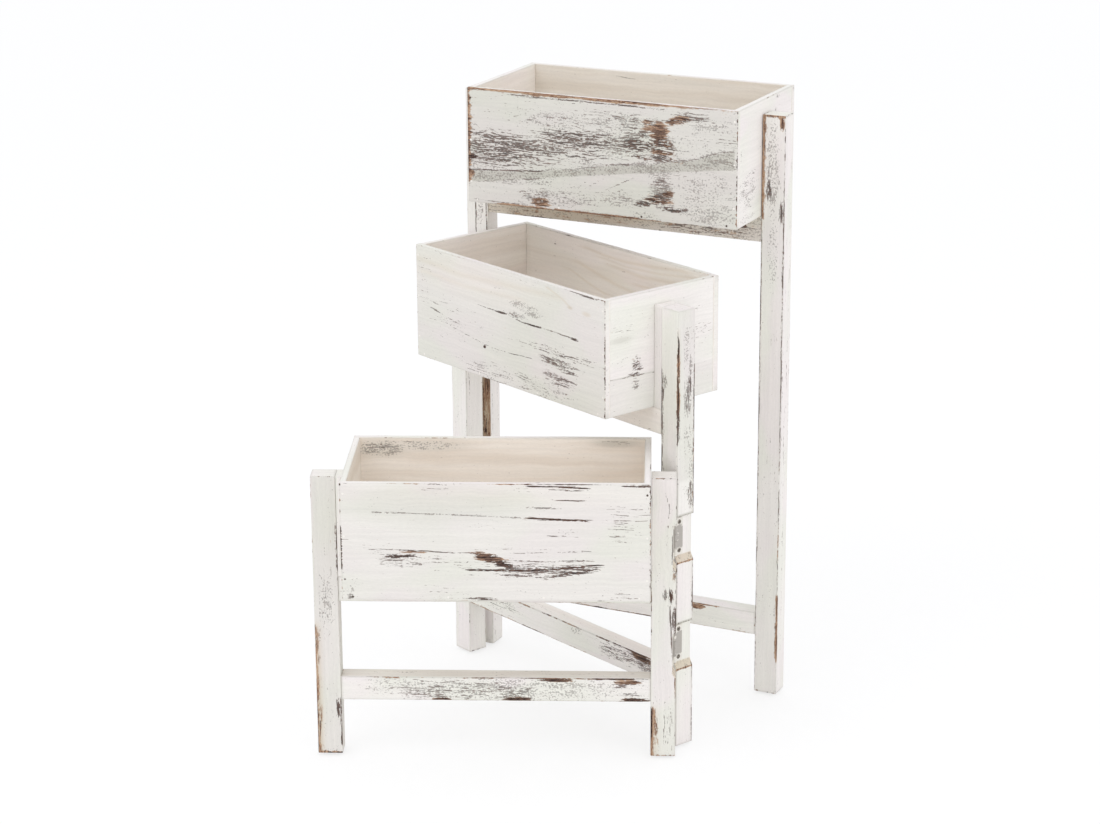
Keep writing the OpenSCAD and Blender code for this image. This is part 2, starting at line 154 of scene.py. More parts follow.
# Rubbed whitewash on soft wood. A thin ivory coat, brushed on and sanded through: what shows is dark old
# grain as threads, dashes and specks, brown wood at the edges, and a faint drift of green-grey and pink in
# the white. That gives the eye an old coat on a real board, and not a printed pattern.
whitewash = {
    "ivory": "#f0ece8",
    "green": "#ebeae2",
    "pink": "#efe9e7",
    "inside": "#f9f2e9",
    "insideDark": "#efe5d9",
    # grey for soil, and for painted shade where it veils whole faces or the rails under a box
    "soil": "#b3b1a5",
    "woodPale": "#bb9e84",
    "woodRed": "#8f6a54",
    "woodDark": "#4d362f",
    "rawWood": "#cbb899",
    "markDark": "#291d1a",
    "markPale": "#6a5248",
    # blotches of the noises in mm, along and across the grain
    "drift": (80.0, 36.0),        # colour drift of the coat
    "pinkDrift": (56.0, 24.0),
    "streak": (120.0, 9.0),       # in the wash inside the boxes
    "brush": (60.0, 1.8),         # brush strokes
    "thread": (22.0, 0.75),       # threads and short dashes of old grain
    "dash": (9.5, 0.9),
    "speck": (1.4, 0.95),
    "speckCloud": (9.0, 3.0),
    "break": (2.4, 0.9),          # what breaks the threads up
    "chip": (4.0, 2.0),           # chips along an edge, and stretches of worn edge
    "chipReach": (26.0, 3.0),
    "rubbed": (13.6, 2.42),       # rims of bare places
    "figure": (34.0, 1.1),        # streaks in bare wood
    "swing": (18.0, 11.0),        # sideways swing of the grain
    "waver": 2.6,                 # mm, how far the grain swings
    # how wear clears the coat: the level at which it starts, the gain of the amount and the softness of the
    # rim; an amount of 0.5 clears about a twelfth of the coat, 1 clears half and 1.5 nearly all
    "grainWear": (0.735, 0.245, 0.025),
    "speckWear": (0.725, 0.235, 0.025),
    "edgeWear": (0.79, 0.36, 0.04),
    "bareWear": (0.77, 0.42, 0.08),
    "speckPaleness": 0.62,
    "coatThickness": 0.16,        # mm
}


def whitewashedWood(name, look):
    material = newMaterial(name)
    tree = material.node_tree
    calc, between, blend = (partial(helper, tree) for helper in (calculated, mapped, blended))
    tint = {key: linear(value) for key, value in look.items() if isinstance(value, str)}
    grain = addNode(tree, "ShaderNodeUVMap", uv_map="grain").outputs["UV"]

    def painted(attribute):
        # the four channels of one vertex colour
        colour = addNode(tree, "ShaderNodeAttribute", attribute_name=attribute).outputs
        return *addNode(tree, "ShaderNodeSeparateColor", {0: colour["Color"]}).outputs, colour["Alpha"]

    def noise(vector, kind, detail=2.0, roughness=0.5):
        # one unit of the noise is two blotches
        length, width = look[kind]
        stretched = addNode(tree, "ShaderNodeVectorMath", {
            0: vector, 1: (0.5 / (length * mm), 0.5 / (width * mm), 1)}, operation="MULTIPLY").outputs[0]
        return addNode(tree, "ShaderNodeTexNoise", {
            "Vector": stretched, "Scale": 1.0, "Detail": detail, "Roughness": roughness},
            noise_dimensions="2D")

    # the grain swings sideways a little: a slow noise moves the pattern across the grain
    offset = addNode(tree, "ShaderNodeVectorMath", {
        0: noise(grain, "swing", 1.0).outputs["Color"], 1: (0.5, 0.5, 0.5)}, operation="SUBTRACT").outputs[0]
    wavy = addNode(tree, "ShaderNodeVectorMath", {
        0: offset, 1: (0, look["waver"] * mm * 2, 0), 2: grain}, operation="MULTIPLY_ADD").outputs[0]

    def pattern(kind, detail=2.0, roughness=0.5):
        return noise(wavy, kind, detail, roughness).outputs["Fac"]

    def weighted(first, share, second):
        # share of the first number and the rest of the second
        return addNode(tree, "ShaderNodeMix", {0: share, 2: second, 3: first}).outputs[0]

    def worn(amount, rubbing, start, gain, soft):
        # where the noise and gain times the amount together pass the start level, the coat is gone
        level = calc("MULTIPLY_ADD", amount, gain, rubbing)
        return between(level, start - soft, start + soft, interpolation_type="SMOOTHSTEP")

    def strongest(first, *others):
        for other in others:
            first = calc("MAXIMUM", first, other)
        return first

    lines, dashes, dots, bare = painted("wear")
    inside, raw, soil, edge = painted("finish")
    drift = noise(grain, "drift", 1.0).outputs["Fac"]
    brush = pattern("brush", 3.0, 0.6)
    breaks = pattern("break", 2.0, 0.6)
    figure = pattern("figure", 4.0, 0.65)
    threads = weighted(pattern("thread", 3.0, 0.55), 0.66, breaks)
    ticks = weighted(pattern("dash", 3.0, 0.55), 0.66, breaks)
    specks = weighted(pattern("speck", 2.0, 0.6), 0.66, pattern("speckCloud"))
    chips = weighted(pattern("chip", 3.0, 0.6), 0.45, pattern("chipReach"))
    rubbed = weighted(pattern("rubbed", 3.0), 0.6, breaks)

    # the coat: ivory that drifts, the creamy wash inside the boxes, and over it grey for soil and for painted
    # shade, and raw wood
    coat = blend(between(drift, 0.42, 0.62), tint["ivory"], tint["green"])
    coat = blend(between(pattern("pinkDrift", 1.0), 0.5, 0.68), coat, tint["pink"])
    wash = blend(between(pattern("streak"), 0.42, 0.66), tint["inside"], tint["insideDark"])
    coat = blend(inside, coat, wash)
    coat = blend(soil, coat, tint["soil"])
    coat = blend(raw, coat, tint["rawWood"])
    tone = calc("MULTIPLY", between(brush, 0.3, 0.7, 0.97, 1.03), between(breaks, 0.25, 0.75, 0.975, 1.025))
    coat = addNode(tree, "ShaderNodeVectorMath", {0: coat, 3: tone}, operation="SCALE").outputs[0]

    # the wood below: brown in fine streaks where it was rubbed bare, dark in the open grain
    wood = blend(between(figure, 0.36, 0.50), tint["woodDark"], tint["woodRed"])
    wood = blend(between(weighted(figure, 0.5, breaks), 0.44, 0.58), wood, tint["woodPale"])
    dark = blend(between(weighted(figure, 0.4, breaks), 0.40, 0.62), tint["markDark"], tint["markPale"])

    speckMask = worn(dots, specks, *look["speckWear"])
    chipMask = worn(edge, chips, *look["edgeWear"])
    bareMask = worn(bare, rubbed, *look["bareWear"])
    darkMask = strongest(worn(lines, threads, *look["grainWear"]), worn(dashes, ticks, *look["grainWear"]),
                         calc("MULTIPLY", speckMask, look["speckPaleness"]))
    # an edge shows dark grain or brown wood, as the drift has it
    edgeTint = blend(between(drift, 0.44, 0.56), dark, wood)
    colour = blend(bareMask, coat, wood)
    colour = blend(chipMask, colour, edgeTint)
    # the deeper the wear, the more of the dark grain shows
    depth = between(strongest(lines, dashes, bare), 0.6, 1.3, 0.72, 1.0)
    colour = blend(calc("MULTIPLY", darkMask, depth), colour, dark)

    # height: the coat stands over the worn places, with brush lines in it and grain in the wood
    wornDown = strongest(darkMask, chipMask, bareMask)
    relief = calc("MULTIPLY_ADD", figure, -0.25, calc("MULTIPLY_ADD", brush, -0.45, wornDown))
    bump = addNode(tree, "ShaderNodeBump", {
        "Height": relief, "Strength": 0.5, "Distance": look["coatThickness"] * mm}, invert=True)
    surface = addNode(tree, "ShaderNodeBsdfPrincipled", {
        "Base Color": colour, "Normal": bump.outputs[0], "Specular IOR Level": 0.35,
        "Roughness": between(wornDown, 0.0, 1.0, 0.62, 0.86)})
    addNode(tree, "ShaderNodeOutputMaterial", {0: surface.outputs[0]})
    return material


woodMaterial = whitewashedWood("whitewashedWood", whitewash)
print("whitewashed wood made")


# smooth noise from a table of random numbers: at a point (u, v) the four table values around it are mixed
# with a smooth step in both directions; the result lies between 0 and 1
def smoothNoise(u, v, seed, size=64):
    table = np.random.default_rng(seed).random((size, size))
    u, v = np.broadcast_arrays(np.asarray(u, float), np.asarray(v, float))
    iu, iv = np.floor(u).astype(int), np.floor(v).astype(int)
    fu, fv = u - iu, v - iv
    fu, fv = fu * fu * (3 - 2 * fu), fv * fv * (3 - 2 * fv)
    i0, i1, j0, j1 = iu % size, (iu + 1) % size, iv % size, (iv + 1) % size
    low = table[i0, j0] * (1 - fu) + table[i1, j0] * fu
    high = table[i0, j1] * (1 - fu) + table[i1, j1] * fu
    return low * (1 - fv) + high * fv


def smoothStep(value, start, end):
    t = np.clip((value - start) / (end - start), 0, 1)
    return t * t * (3 - 2 * t)


# 1 at a distance of 0, falling off as a bell curve
def bell(distance, width):
    return np.exp(-(distance / width) ** 2)


# points turned about the vertical through the origin: x' = x cos a - y sin a, y' = x sin a + y cos a
def turned(points, degrees):
    a = math.radians(degrees)
    x, y, z = points.T
    return np.stack([x * math.cos(a) - y * math.sin(a), x * math.sin(a) + y * math.cos(a), z], -1)


# the box of a node in its own frame's axes, millimetres: the node's points turned back by the frame's turn
def ownBox(node, tier):
    mesh = frame["nodes"][node].data
    points = np.zeros(len(mesh.vertices) * 3)
    mesh.vertices.foreach_get("co", points)
    points = turned(points.reshape(-1, 3), -frameTurn[tier]) / mm
    return points.min(0), points.max(0)


# Marks of wear, soil and painted shade, in millimetres on one face: along runs with the grain from the
# piece's low end, across runs from the face's low edge (its bottom, its left or its front). A mark is a
# function of along,
# across and the distances to the faces and ends, and the strengths of what it leaves:
# lines, dashes and dots of dark grain, bare brown wood, the inside's creamy wash, raw wood, grey soil and
# painted shade, worn edge.
channelNames = ("lines", "dashes", "dots", "bare", "inside", "raw", "soil", "edge")


def patch(along, across, halfLength, halfWidth, rise=0.0, soft=0.6, **wear):
    # an oval that fades outwards: 1 - smooth step of the distance divided by the two half sizes
    def value(a, c, place):
        distance = np.hypot((a - along) / halfLength, (c - across - rise * (a - along)) / halfWidth)
        return 1 - smoothStep(distance, 1 - soft, 1 + soft)
    return value, wear


def stroke(points, width, taper=12.0, **wear):
    # a line through points (along, across): falls off as a bell curve of the distance from it,
    # and fades over the taper at both ends
    a0, c0 = np.array(points, float).T

    def value(a, c, place):
        ends = smoothStep(a, a0[0] - taper, a0[0] + 1) * (1 - smoothStep(a, a0[-1] - 1, a0[-1] + taper))
        return bell(c - np.interp(a, a0, c0), width) * ends
    return value, wear


def band(lowLine, highLine, soft=2.0, **wear):
    # the area between two lines through points (along, across)
    lowA, lowC = np.array(lowLine, float).T
    highA, highC = np.array(highLine, float).T

    def value(a, c, place):
        lower, upper = np.interp(a, lowA, lowC), np.interp(a, highA, highC)
        between = smoothStep(c, lower - soft, lower + soft) * (1 - smoothStep(c, upper - soft, upper + soft))
        return between * ((a >= lowA[0]) & (a <= lowA[-1]))
    return value, wear


def stretch(start, end, soft=0.8, **wear):
    # the whole width of a face between two places along it
    def value(a, c, place):
        return smoothStep(a, start - soft, start + soft) * (1 - smoothStep(a, end - soft, end + soft)) \
            * np.ones_like(c)
    return value, wear


def rub(rim, points, width, **wear):
    # wear that falls off with the distance from an edge: from the edge of two faces, where points are
    # (along, strength), or from the start or end of one face, where they are (across, strength)
    at, strength = np.array(points, float).T

    def value(a, c, place):
        if rim in place:
            return np.interp(c, at, strength, left=0, right=0) * bell(place[rim], width)
        distance = np.hypot(place[rim[0]], place[rim[1]])
        return np.interp(a, at, strength, left=0, right=0) * bell(distance, width)
    return value, wear


def fullMark(mark):
    # a row of numbers is an oval, or a stroke if a list of points comes first; after the two numbers of a
    # stroke or the four of an oval come its lines, dashes, dots and bare, as far as they aren't 0
    if callable(mark[0]):
        return mark
    make, count = (stroke, 2) if isinstance(mark[0], list) else (patch, 4)
    return make(*mark[:count], **dict(zip(channelNames, mark[count:])))


# marks where the photograph shows none: seeded threads of old grain that run in small families, and a few
# loose clouds of dashes or specks, on a face of a given length and width
def chanceMarks(seed, length, width, count, strength=0.95):
    rng = np.random.default_rng(seed)
    found = []
    for _ in range(count):
        along, across = rng.uniform(0.04, 0.96) * length, rng.uniform(0.06, 0.94) * width
        reach = rng.uniform(0.04, 0.16) * length
        level = strength * rng.uniform(0.7, 1.1)
        if rng.random() < 0.6:
            for _ in range(rng.integers(1, 4)):
                here = across + rng.normal(0, 0.06) * width
                end = here + rng.uniform(-0.03, 0.03) * width
                middle = along + rng.normal(0, 0.5) * reach
                found.append(stroke([(middle - reach, here), (middle + reach, end)], 1.2, lines=level * 1.15))
        else:
            tall = rng.uniform(0.05, 0.12) * width
            found.append(patch(along, across, reach * 1.3, tall, soft=0.9,
                               dashes=level * 0.7, dots=level * 0.8))
    return found


# recesses for hinge leaves, read from where the leaves are: square at the top, and sloping out below
recess = {"head": 2.0, "height": 51.0, "slope": 7.0, "depth": 4.0}
# across the square step, mm from its middle, and how much of the depth is reached there
stepOffsets = np.array([-0.4, -0.15, -0.06, -0.03, 0, 0.03, 0.06, 0.15, 0.4])
stepDepths = np.array([1, 0.985, 0.93, 0.75, 0.5, 0.25, 0.07, 0.015, 0])


def recessHeights(side, tier, bottom):
    # (foot of the slope, floor, top) of the two recesses in a post, mm above its bottom
    found = []
    for place in ("lower", "upper"):
        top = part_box(f"{side}_{place}_hinge_{tier}_leaf")[1].z / mm + recess["head"]
        floor = top - recess["height"] - bottom
        found.append((floor - recess["slope"], floor, top - bottom))
    return found


def recessMarks(foot, floor, top):
    # raw wood on the slope, a rim of bare brown wood at the slope's foot, and a dark grey line along the
    # square top
    return [
        stretch(foot - 0.5, floor + 1.5, 1.2, raw=0.6, dots=0.55),
        stretch(foot - 1.8, foot + 0.2, 0.6, bare=1.15),
        stretch(top + 0.1, top + 1.5, 0.5, soil=1.0, lines=0.95),
    ]


# names of the four long faces of a piece, in the order in which its outline runs round the grain direction
facesRound = {
    "x": ("bottom", "back", "top", "front"),
    "y": ("left", "top", "right", "bottom"),
    "z": ("front", "right", "back", "left"),
}

# what a wooden piece has unless its role or the piece itself says otherwise
plainWood = {
    "corner": 1.1,            # mm, radius of the long edges
    "cornerDrift": 0.5,       # the part of it that drifts along an edge
    "step": 2.5,              # mm, between stations along the grain
    "coarse": 3.0,            # mm, between points across a face that "fine" doesn't name
    "hollow": 0.16,           # mm, depth of the plane marks
    "strayLines": 0.25,       # made-up wear everywhere
    "strayDots": 0.25,
    "edgeWear": 0.55,         # chips along the long edges, and at the ends as a part of that
    "endWear": 1.0,
    "insideTone": 1.0,        # how far a face inside a box takes on the creamy wash
    "endRaw": 0.04,           # raw wood and specks on the end grain
    "endDots": 0.2,
    "inside": (),             # faces inside a box
    "joined": (),             # edges that another piece covers: two faces, start and end along the edge
    "chance": {},             # chance marks by face: count and strength
}
# and what it has from its place in a frame; span and width are the size of the faces with chance marks
roles = {
    "box_front": {"grain": "x", "butts": "back", "inside": ("back",), "step": 2, "strayLines": 0.5,
                  "fine": {"front": 1, "top": 1, "bottom": 2}},
    "box_back": {"grain": "x", "butts": "front", "inside": ("front",), "strayLines": 0.3, "strayDots": 0.1,
                 "fine": {"front": 2, "top": 1, "back": 1.6}, "span": 360, "width": {"back": 144}},
    "box_left_end": {"grain": "y", "endWear": 0, "inside": ("right",), "strayLines": 0.2, "strayDots": 0.1,
                     "fine": {"right": 2, "top": 1, "left": 1.4}, "span": 164, "width": {"left": 144}},
    "box_right_end": {"grain": "y", "endWear": 0, "inside": ("left",), "step": 1.8, "strayDots": 0.15,
                      "fine": {"left": 2, "top": 1, "right": 1}, "span": 164, "width": {"right": 144}},
    "box_bottom": {"grain": "x", "inside": ("top",), "chance": {"bottom": (8,)}, "span": 344,
                   "width": {"bottom": 164}},
    "spacer": {"grain": "z", "coarse": 1.8, "endWear": 0.3},
    "left_post": {"grain": "z", "corner": 1.3, "strayLines": 0.35,
                  "fine": {"front": 1, "left": 1.6, "right": 1.4, "back": 1.6},
                  "width": {"left": 27, "right": 27, "back": 30}},
    "right_post": {"grain": "z", "corner": 1.3, "strayLines": 0.3,
                   "fine": {"front": 1, "right": 1, "left": 1.6, "back": 1.6},
                   "width": {"right": 27, "back": 30}},
    "upper_rail": {"grain": "x", "strayLines": 0.3, "fine": {"front": 1.4, "bottom": 2},
                   "chance": {"back": (5,)}, "span": 373, "width": {"front": 32, "back": 32}},
    "lower_rail": {"grain": "x", "corner": 1.2, "strayLines": 0.3, "fine": {"front": 1, "top": 1.2},
                   "chance": {"back": (8,)}, "span": 373, "width": {"back": 30, "top": 25}},
}
postSpan = {"low": 355, "middle": 550, "tall": 748}


# the whole of a piece's settings, with its box and its recesses
def fullSettings(tier, role, piece):
    look = {**plainWood, "span": postSpan[tier], **roles[role], **piece, "tier": tier}
    look["fine"] = {**roles[role].get("fine", {}), **piece.get("fine", {})}
    look["node"] = f"{tier}_{role}"
    look["low"], look["high"] = ownBox(look["node"], tier)
    look["faces"] = facesRound[look["grain"]]
    look["axis"] = "xyz".index(look["grain"])
    side = piece.get("recessed")
    look["recesses"] = recessHeights(side, tier, look["low"][2]) if side else []
    return look


# radius of the ends as a part of the least radius of the long edges, and the largest of those as a part of
# the piece's thinner side
endRadius, largestRadius = 0.95, 0.42
# plane marks, from long hollows to ripples: share of the depth, mm along and round the piece, and where the
# noise starts in both directions
planeMarks = ((0.55, 70.0, 24.0, 11, 0), (0.3, 22.0, 5.0, 0, 5), (0.15, 7.0, 1.7, 0, 0))


# Stations along the grain: evenly spread, closer where an end is rounded and across the steps of a recess.
# At each, how far the outline is drawn in: by r (1 - sin a) at the depth r (1 - cos a) below an end.
def stationsAlong(look, length):
    r = look["corner"] * (1 - look["cornerDrift"]) * endRadius
    rounding = r * (1 - np.cos(np.linspace(0, quarterTurn, 4)))
    middle = np.linspace(r, length - r, int((length - 2 * r) / look["step"]) + 2)
    extra = []
    for foot, floor, top in look["recesses"]:
        extra += [top + stepOffsets, (floor - 0.5, floor, floor + 0.5), (foot - 0.5, foot, foot + 0.5)]
    stations = np.unique(np.round(np.concatenate([rounding, middle, length - rounding, *extra]), 3))
    nearEnd = np.clip(r - np.minimum(stations, length - stations), 0, None)
    return stations, r - np.sqrt(np.clip(r ** 2 - nearEnd ** 2, 0, None))


# Points round the outline: the corner before and after each, the fraction of the way between them, and the
# outward normal. A flat has points as close as its face asks for, and a corner has five.
def outlineRound(look, sizes):
    found = []
    for k, name in enumerate(look["faces"]):
        count = max(3, math.ceil(sizes[k % 2] / look["fine"].get(name, look["coarse"])))
        angle = (k - 1) * quarterTurn
        found += [((k + 3) % 4, k, i / count, math.cos(angle), math.sin(angle)) for i in range(1, count)]
        found += [(k, k, 0, math.cos(angle + turn), math.sin(angle + turn))
                  for turn in np.linspace(0, quarterTurn, 5)]
    before, after, fraction, across, up = np.array(found).T
    return before.astype(int), after.astype(int), fraction, np.round(np.stack([across, up], -1), 9)


# The rings of a piece: a rounded rectangle at each station. A point on a flat is the corner centre plus the
# corner radius along the outward normal, moved on by its fraction to the next corner; on a corner it is the
# centre plus the radius times (cos, sin) of the corner's angle.
def ringsOf(look, sides, length):
    p, q = sides
    low, high, seed = look["low"], look["high"], look["seed"]
    sizes = np.array([high[p] - low[p], high[q] - low[q]])
    stations, inset = stationsAlong(look, length)
    before, after, fraction, normal = outlineRound(look, sizes)

    # corner radii drift along the length in waves of about 37 and 9 mm, and each corner has its own
    s, corners = stations[:, None], np.arange(4)[None]
    drift = smoothNoise(s / 37.0 + seed, corners * 7.3, seed) \
        + 0.5 * smoothNoise(s / 9.0, corners * 5.1 + 3, seed + 1)
    radii = look["corner"] * (1 - look["cornerDrift"] + 1.35 * look["cornerDrift"] * drift)
    radii = np.minimum(radii, largestRadius * sizes.min())
    depth = np.zeros(len(stations))
    for foot, floor, top in look["recesses"]:
        at, reached = np.concatenate([[foot, floor], top + stepOffsets]), np.concatenate([[0, 1], stepDepths])
        depth += np.interp(stations, at, reached, left=0, right=0) * recess["depth"]
    boundLow = np.repeat(np.array([[low[p], low[q]]]), len(stations), 0)
    boundHigh = np.repeat(np.array([[high[p], high[q]]]), len(stations), 0)
    if look.get("recessed") == "left":
        boundLow[:, 0] += depth
    else:
        boundHigh[:, 0] -= depth
    centre, half = (boundLow + boundHigh) / 2, (boundHigh - boundLow) / 2

    def cornerPoint(which):
        side = np.array([[1, -1], [1, 1], [-1, 1], [-1, -1]])[which][None]
        r = radii[:, which][:, :, None]
        return centre[:, None] + side * (half[:, None] - r) + (r - inset[:, None, None]) * normal[None]
    flat = cornerPoint(before) * (1 - fraction)[None, :, None] + cornerPoint(after) * fraction[None, :, None]

    # hand-planed faces: shallow hollows and fine ripples, always inwards
    ring = flat[len(stations) // 2]
    around = np.concatenate([[0], np.cumsum(np.linalg.norm(np.diff(ring, axis=0), axis=1))])
    hollow = 0
    for number, (share, long, wide, startAlong, startRound) in enumerate(planeMarks, 2):
        place = s / long + startAlong, around[None] / wide + startRound
        hollow = hollow + share * smoothNoise(*place, seed + number)
    flat = flat - normal[None] * (hollow * look["hollow"] + 0.02)[:, :, None]
    return stations, flat, normal, np.append(around, around[-1] + np.linalg.norm(ring[0] - ring[-1]))


# worn edges: mm that wear reaches from an edge, the least share of it that shows, and the soil beside it
edgeReach, edgeLeast, edgeSoil = 1.3, 0.35, 0.4
# where another piece covers an edge: mm from it, mm along it from its end or, beyond a stretch that is
# covered, until the wear is back, and the share of the wear that is kept off
coverReach, coverLength, coverFade, covered = 2.5, 5.0, 3, 0.95
# clouds of wear: mm along and round the piece, where the noise starts, what is added to the piece's seed, and
# the range of the noise that runs from none to full
clouds = {"lines": (55.0, 16.0, 0, 5, 0.45, 0.95), "dots": (40.0, 20.0, 0, 6, 0.45, 0.95),
          "edge": (34.0, 40.0, 3, 7, 0.25, 0.85)}


# The wear channels of a piece's rings, painted shade among them: stray marks everywhere, worn edges, then the
# piece's own marks. Marks don't add up: the strongest one counts.
def wearOf(look, sides, length, stations, flat, normal, around):
    low, high, names, seed = look["low"][list(sides)], look["high"][list(sides)], look["faces"], look["seed"]
    s, around = stations[:, None], around[None]

    def cloud(kind):
        long, wide, start, number, none, full = clouds[kind]
        return smoothStep(smoothNoise(s / long + start, around / wide, seed + number), none, full)

    # across each face, distance to it, and its share: 1 on the flat, and less round its corners
    across, place, weight = {"edges": None}, {}, {"edges": 1}
    for k, name in enumerate(names):
        across[name] = flat[..., k % 2] - low[k % 2]
        bound = (high if k in (1, 2) else low)[(k + 1) % 2]
        place[name] = np.abs(flat[..., (k + 1) % 2] - bound)
        angle = (k - 1) * quarterTurn
        weight[name] = smoothStep(normal @ np.array([math.cos(angle), math.sin(angle)]), 0.35, 0.75)[None]
    nearest = np.sort(np.stack([place[name] for name in names]), 0)
    place["start"] = np.broadcast_to(s, flat.shape[:2])
    place["end"] = np.broadcast_to(length - s, flat.shape[:2])
    endNear = np.minimum(place["start"], place["end"])

    # worn edges; an edge that meets another board or has one lying against it keeps its coat
    closeness = np.maximum(bell(nearest[1], edgeReach),
                           bell(endNear + nearest[0], edgeReach) * look["endWear"])
    if "butts" in look:
        nearButt = np.exp(-(place[look["butts"]] / coverReach) ** 2 - (endNear / coverLength) ** 2)
        closeness = closeness * (1 - covered * nearButt)
    for firstFace, secondFace, start, end in look["joined"]:
        kept = covered * bell(np.hypot(place[firstFace], place[secondFace]), coverReach)
        kept = kept * smoothStep(s, start - coverFade, start) * (1 - smoothStep(s, end, end + coverFade))
        closeness = closeness * (1 - kept)
    hidden = np.zeros(flat.shape[:2])
    for name in look["inside"]:
        hidden = np.maximum(hidden, weight[name])
    wear = {name: np.zeros(flat.shape[:2]) for name in channelNames}
    wear["lines"] = look["strayLines"] * cloud("lines") * (1 - hidden)
    wear["dots"] = look["strayDots"] * cloud("dots") * (1 - hidden)
    wear["edge"] = closeness * look["edgeWear"] * (edgeLeast + cloud("edge"))
    wear["soil"] = edgeSoil * closeness
    wear["inside"] = hidden * look["insideTone"]

    marks = {name: [*look.get(name, ())] for name in (*names, "edges")}
    for number, (name, chance) in enumerate(look["chance"].items(), 1):
        marks[name] += chanceMarks(seed * 10 + number, look["span"], look["width"][name], *chance)
    for heights in look["recesses"]:
        marks[look["recessed"]] += recessMarks(*heights)
    for name, found in marks.items():
        for value, left in map(fullMark, found):
            amount = value(s, across[name], place) * weight[name]
            for channel, strength in left.items():
                wear[channel] = np.maximum(wear[channel], amount * strength)
    # marks weaker than 0.3 to 0.6 don't show on the faces inside a box
    for name in ("lines", "dashes", "dots"):
        wear[name] = wear[name] * (1 - hidden * (1 - smoothStep(wear[name], 0.3, 0.6)))
    return np.stack([wear[name] for name in channelNames])


capRings = 5  # rings between the rim of an end and its middle
grainStep = (0.531, 0.247)  # metres along and across between the grain of two pieces whose seeds differ by 1


# A closed mesh from rings of points (ring, column, two sides): quads between neighbouring rings, and
# triangles from the outermost rings to a point in the middle of each end.
def ringMesh(look, sides, along, outline, around, channels):
    rows, columns = outline.shape[:2]
    points = np.zeros((rows, columns, 3))
    points[..., look["axis"]] = along[:, None] + look["low"][look["axis"]]
    points[..., sides[0]], points[..., sides[1]] = outline[..., 0], outline[..., 1]
    poles = np.array([points[row].mean(0) for row in (0, -1)])
    points = turned(np.concatenate([points.reshape(-1, 3), poles]), frameTurn[look["tier"]]) * mm
    index = np.arange(rows * columns).reshape(rows, columns)
    following = np.roll(index, -1, 1)
    quads = np.stack([index[:-1], following[:-1], following[1:], index[1:]], -1)
    firstFan = np.stack([following[0], index[0], np.full(columns, rows * columns)], -1)
    lastFan = np.stack([index[-1], following[-1], np.full(columns, rows * columns + 1)], -1)
    corners = np.concatenate([quads.ravel(), firstFan.ravel(), lastFan.ravel()])
    quadCount = (rows - 1) * columns
    starts = np.concatenate([np.arange(quadCount) * 4, quadCount * 4 + np.arange(2 * columns) * 3])

    mesh = bpy.data.meshes.new(look["node"] + "_wood")
    mesh.vertices.add(len(points))
    mesh.vertices.foreach_set("co", points.astype(np.float32).ravel())
    mesh.loops.add(len(corners))
    mesh.loops.foreach_set("vertex_index", corners.astype(np.int32))
    mesh.polygons.add(len(starts))
    mesh.polygons.foreach_set("loop_start", starts.astype(np.int32))
    mesh.polygons.foreach_set("use_smooth", np.ones(len(starts), bool))
    mesh.update(calc_edges=True)

    # grain map in metres: along the grain, and round the piece, but flat across the end caps
    quadU = np.repeat(np.stack([along[:-1], along[:-1], along[1:], along[1:]], -1)[:, None], columns, 1)
    quadV = np.repeat(np.stack([around[:-1], around[1:], around[1:], around[:-1]], -1)[None], rows - 1, 0)
    onward = np.roll(outline, -1, 1)
    flatMap = np.stack([outline[:-1], onward[:-1], onward[1:], outline[1:]], 2)
    capRows = np.r_[0:capRings, rows - 1 - capRings:rows - 1]
    quadU[capRows], quadV[capRows] = flatMap[capRows, ..., 0], flatMap[capRows, ..., 1]
    fans = []
    for row, order in ((0, (1, 0)), (-1, (0, 1))):
        pair = np.stack([outline[row], onward[row]], 0)[list(order)]
        fans.append(np.stack([*pair, np.broadcast_to(outline[row].mean(0), outline[row].shape)], 1))
    grain = [np.concatenate([quad.ravel(), *(fan[..., side].ravel() for fan in fans)]) * mm
             + look["seed"] * grainStep[side] for side, quad in enumerate((quadU, quadV))]
    mesh.uv_layers.new(name="grain").data.foreach_set("uv", np.stack(grain, -1).astype(np.float32).ravel())

    poleChannels = channels[:, [0, -1], 0]
    channels = np.concatenate([channels.reshape(len(channels), -1), poleChannels], 1)
    for name, part in (("wear", channels[:4]), ("finish", channels[4:])):
        layer = mesh.attributes.new(name, "FLOAT_COLOR", "POINT")
        layer.data.foreach_set("color", part.T.astype(np.float32).ravel())
    mesh.materials.append(woodMaterial)
    return mesh


# a piece of wood: rings carried along the grain, closed at each end by rings that shrink to its middle
def woodPiece(tier, role, piece):
    look = fullSettings(tier, role, piece)
    node, axis = look["node"], look["axis"]
    sides = (axis + 1) % 3, (axis + 2) % 3
    length = look["high"][axis] - look["low"][axis]
    stations, flat, normal, around = ringsOf(look, sides, length)
    channels = wearOf(look, sides, length, stations, flat, normal, around[:-1])
    shrink = np.linspace(1, 0, capRings + 2)[1:-1, None, None]
    caps = []
    for ring in (flat[0], flat[-1]):
        middle = (ring.min(0) + ring.max(0)) / 2
        caps.append(middle + (ring - middle)[None] * shrink)
    capChannels = np.zeros((len(channelNames), capRings, flat.shape[1]))
    capChannels[channelNames.index("raw")] = look["endRaw"]
    capChannels[channelNames.index("dots")] = look["endDots"]
    outline = np.concatenate([caps[0][::-1], flat, caps[1]])
    along = np.pad(stations, capRings, "edge")
    channels = np.concatenate([capChannels, channels, capChannels], 1)
    wood = newObject(node + "_wood", ringMesh(look, sides, along, outline, around, channels))
    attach(wood, frame["nodes"][node]["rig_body"])
    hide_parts(node)


# settings and marks of the thirty wooden pieces
pieces = {}
frontLeft, frontRight, frontTop, frontBottom = (
    ("front", side) for side in ("left", "right", "top", "bottom"))

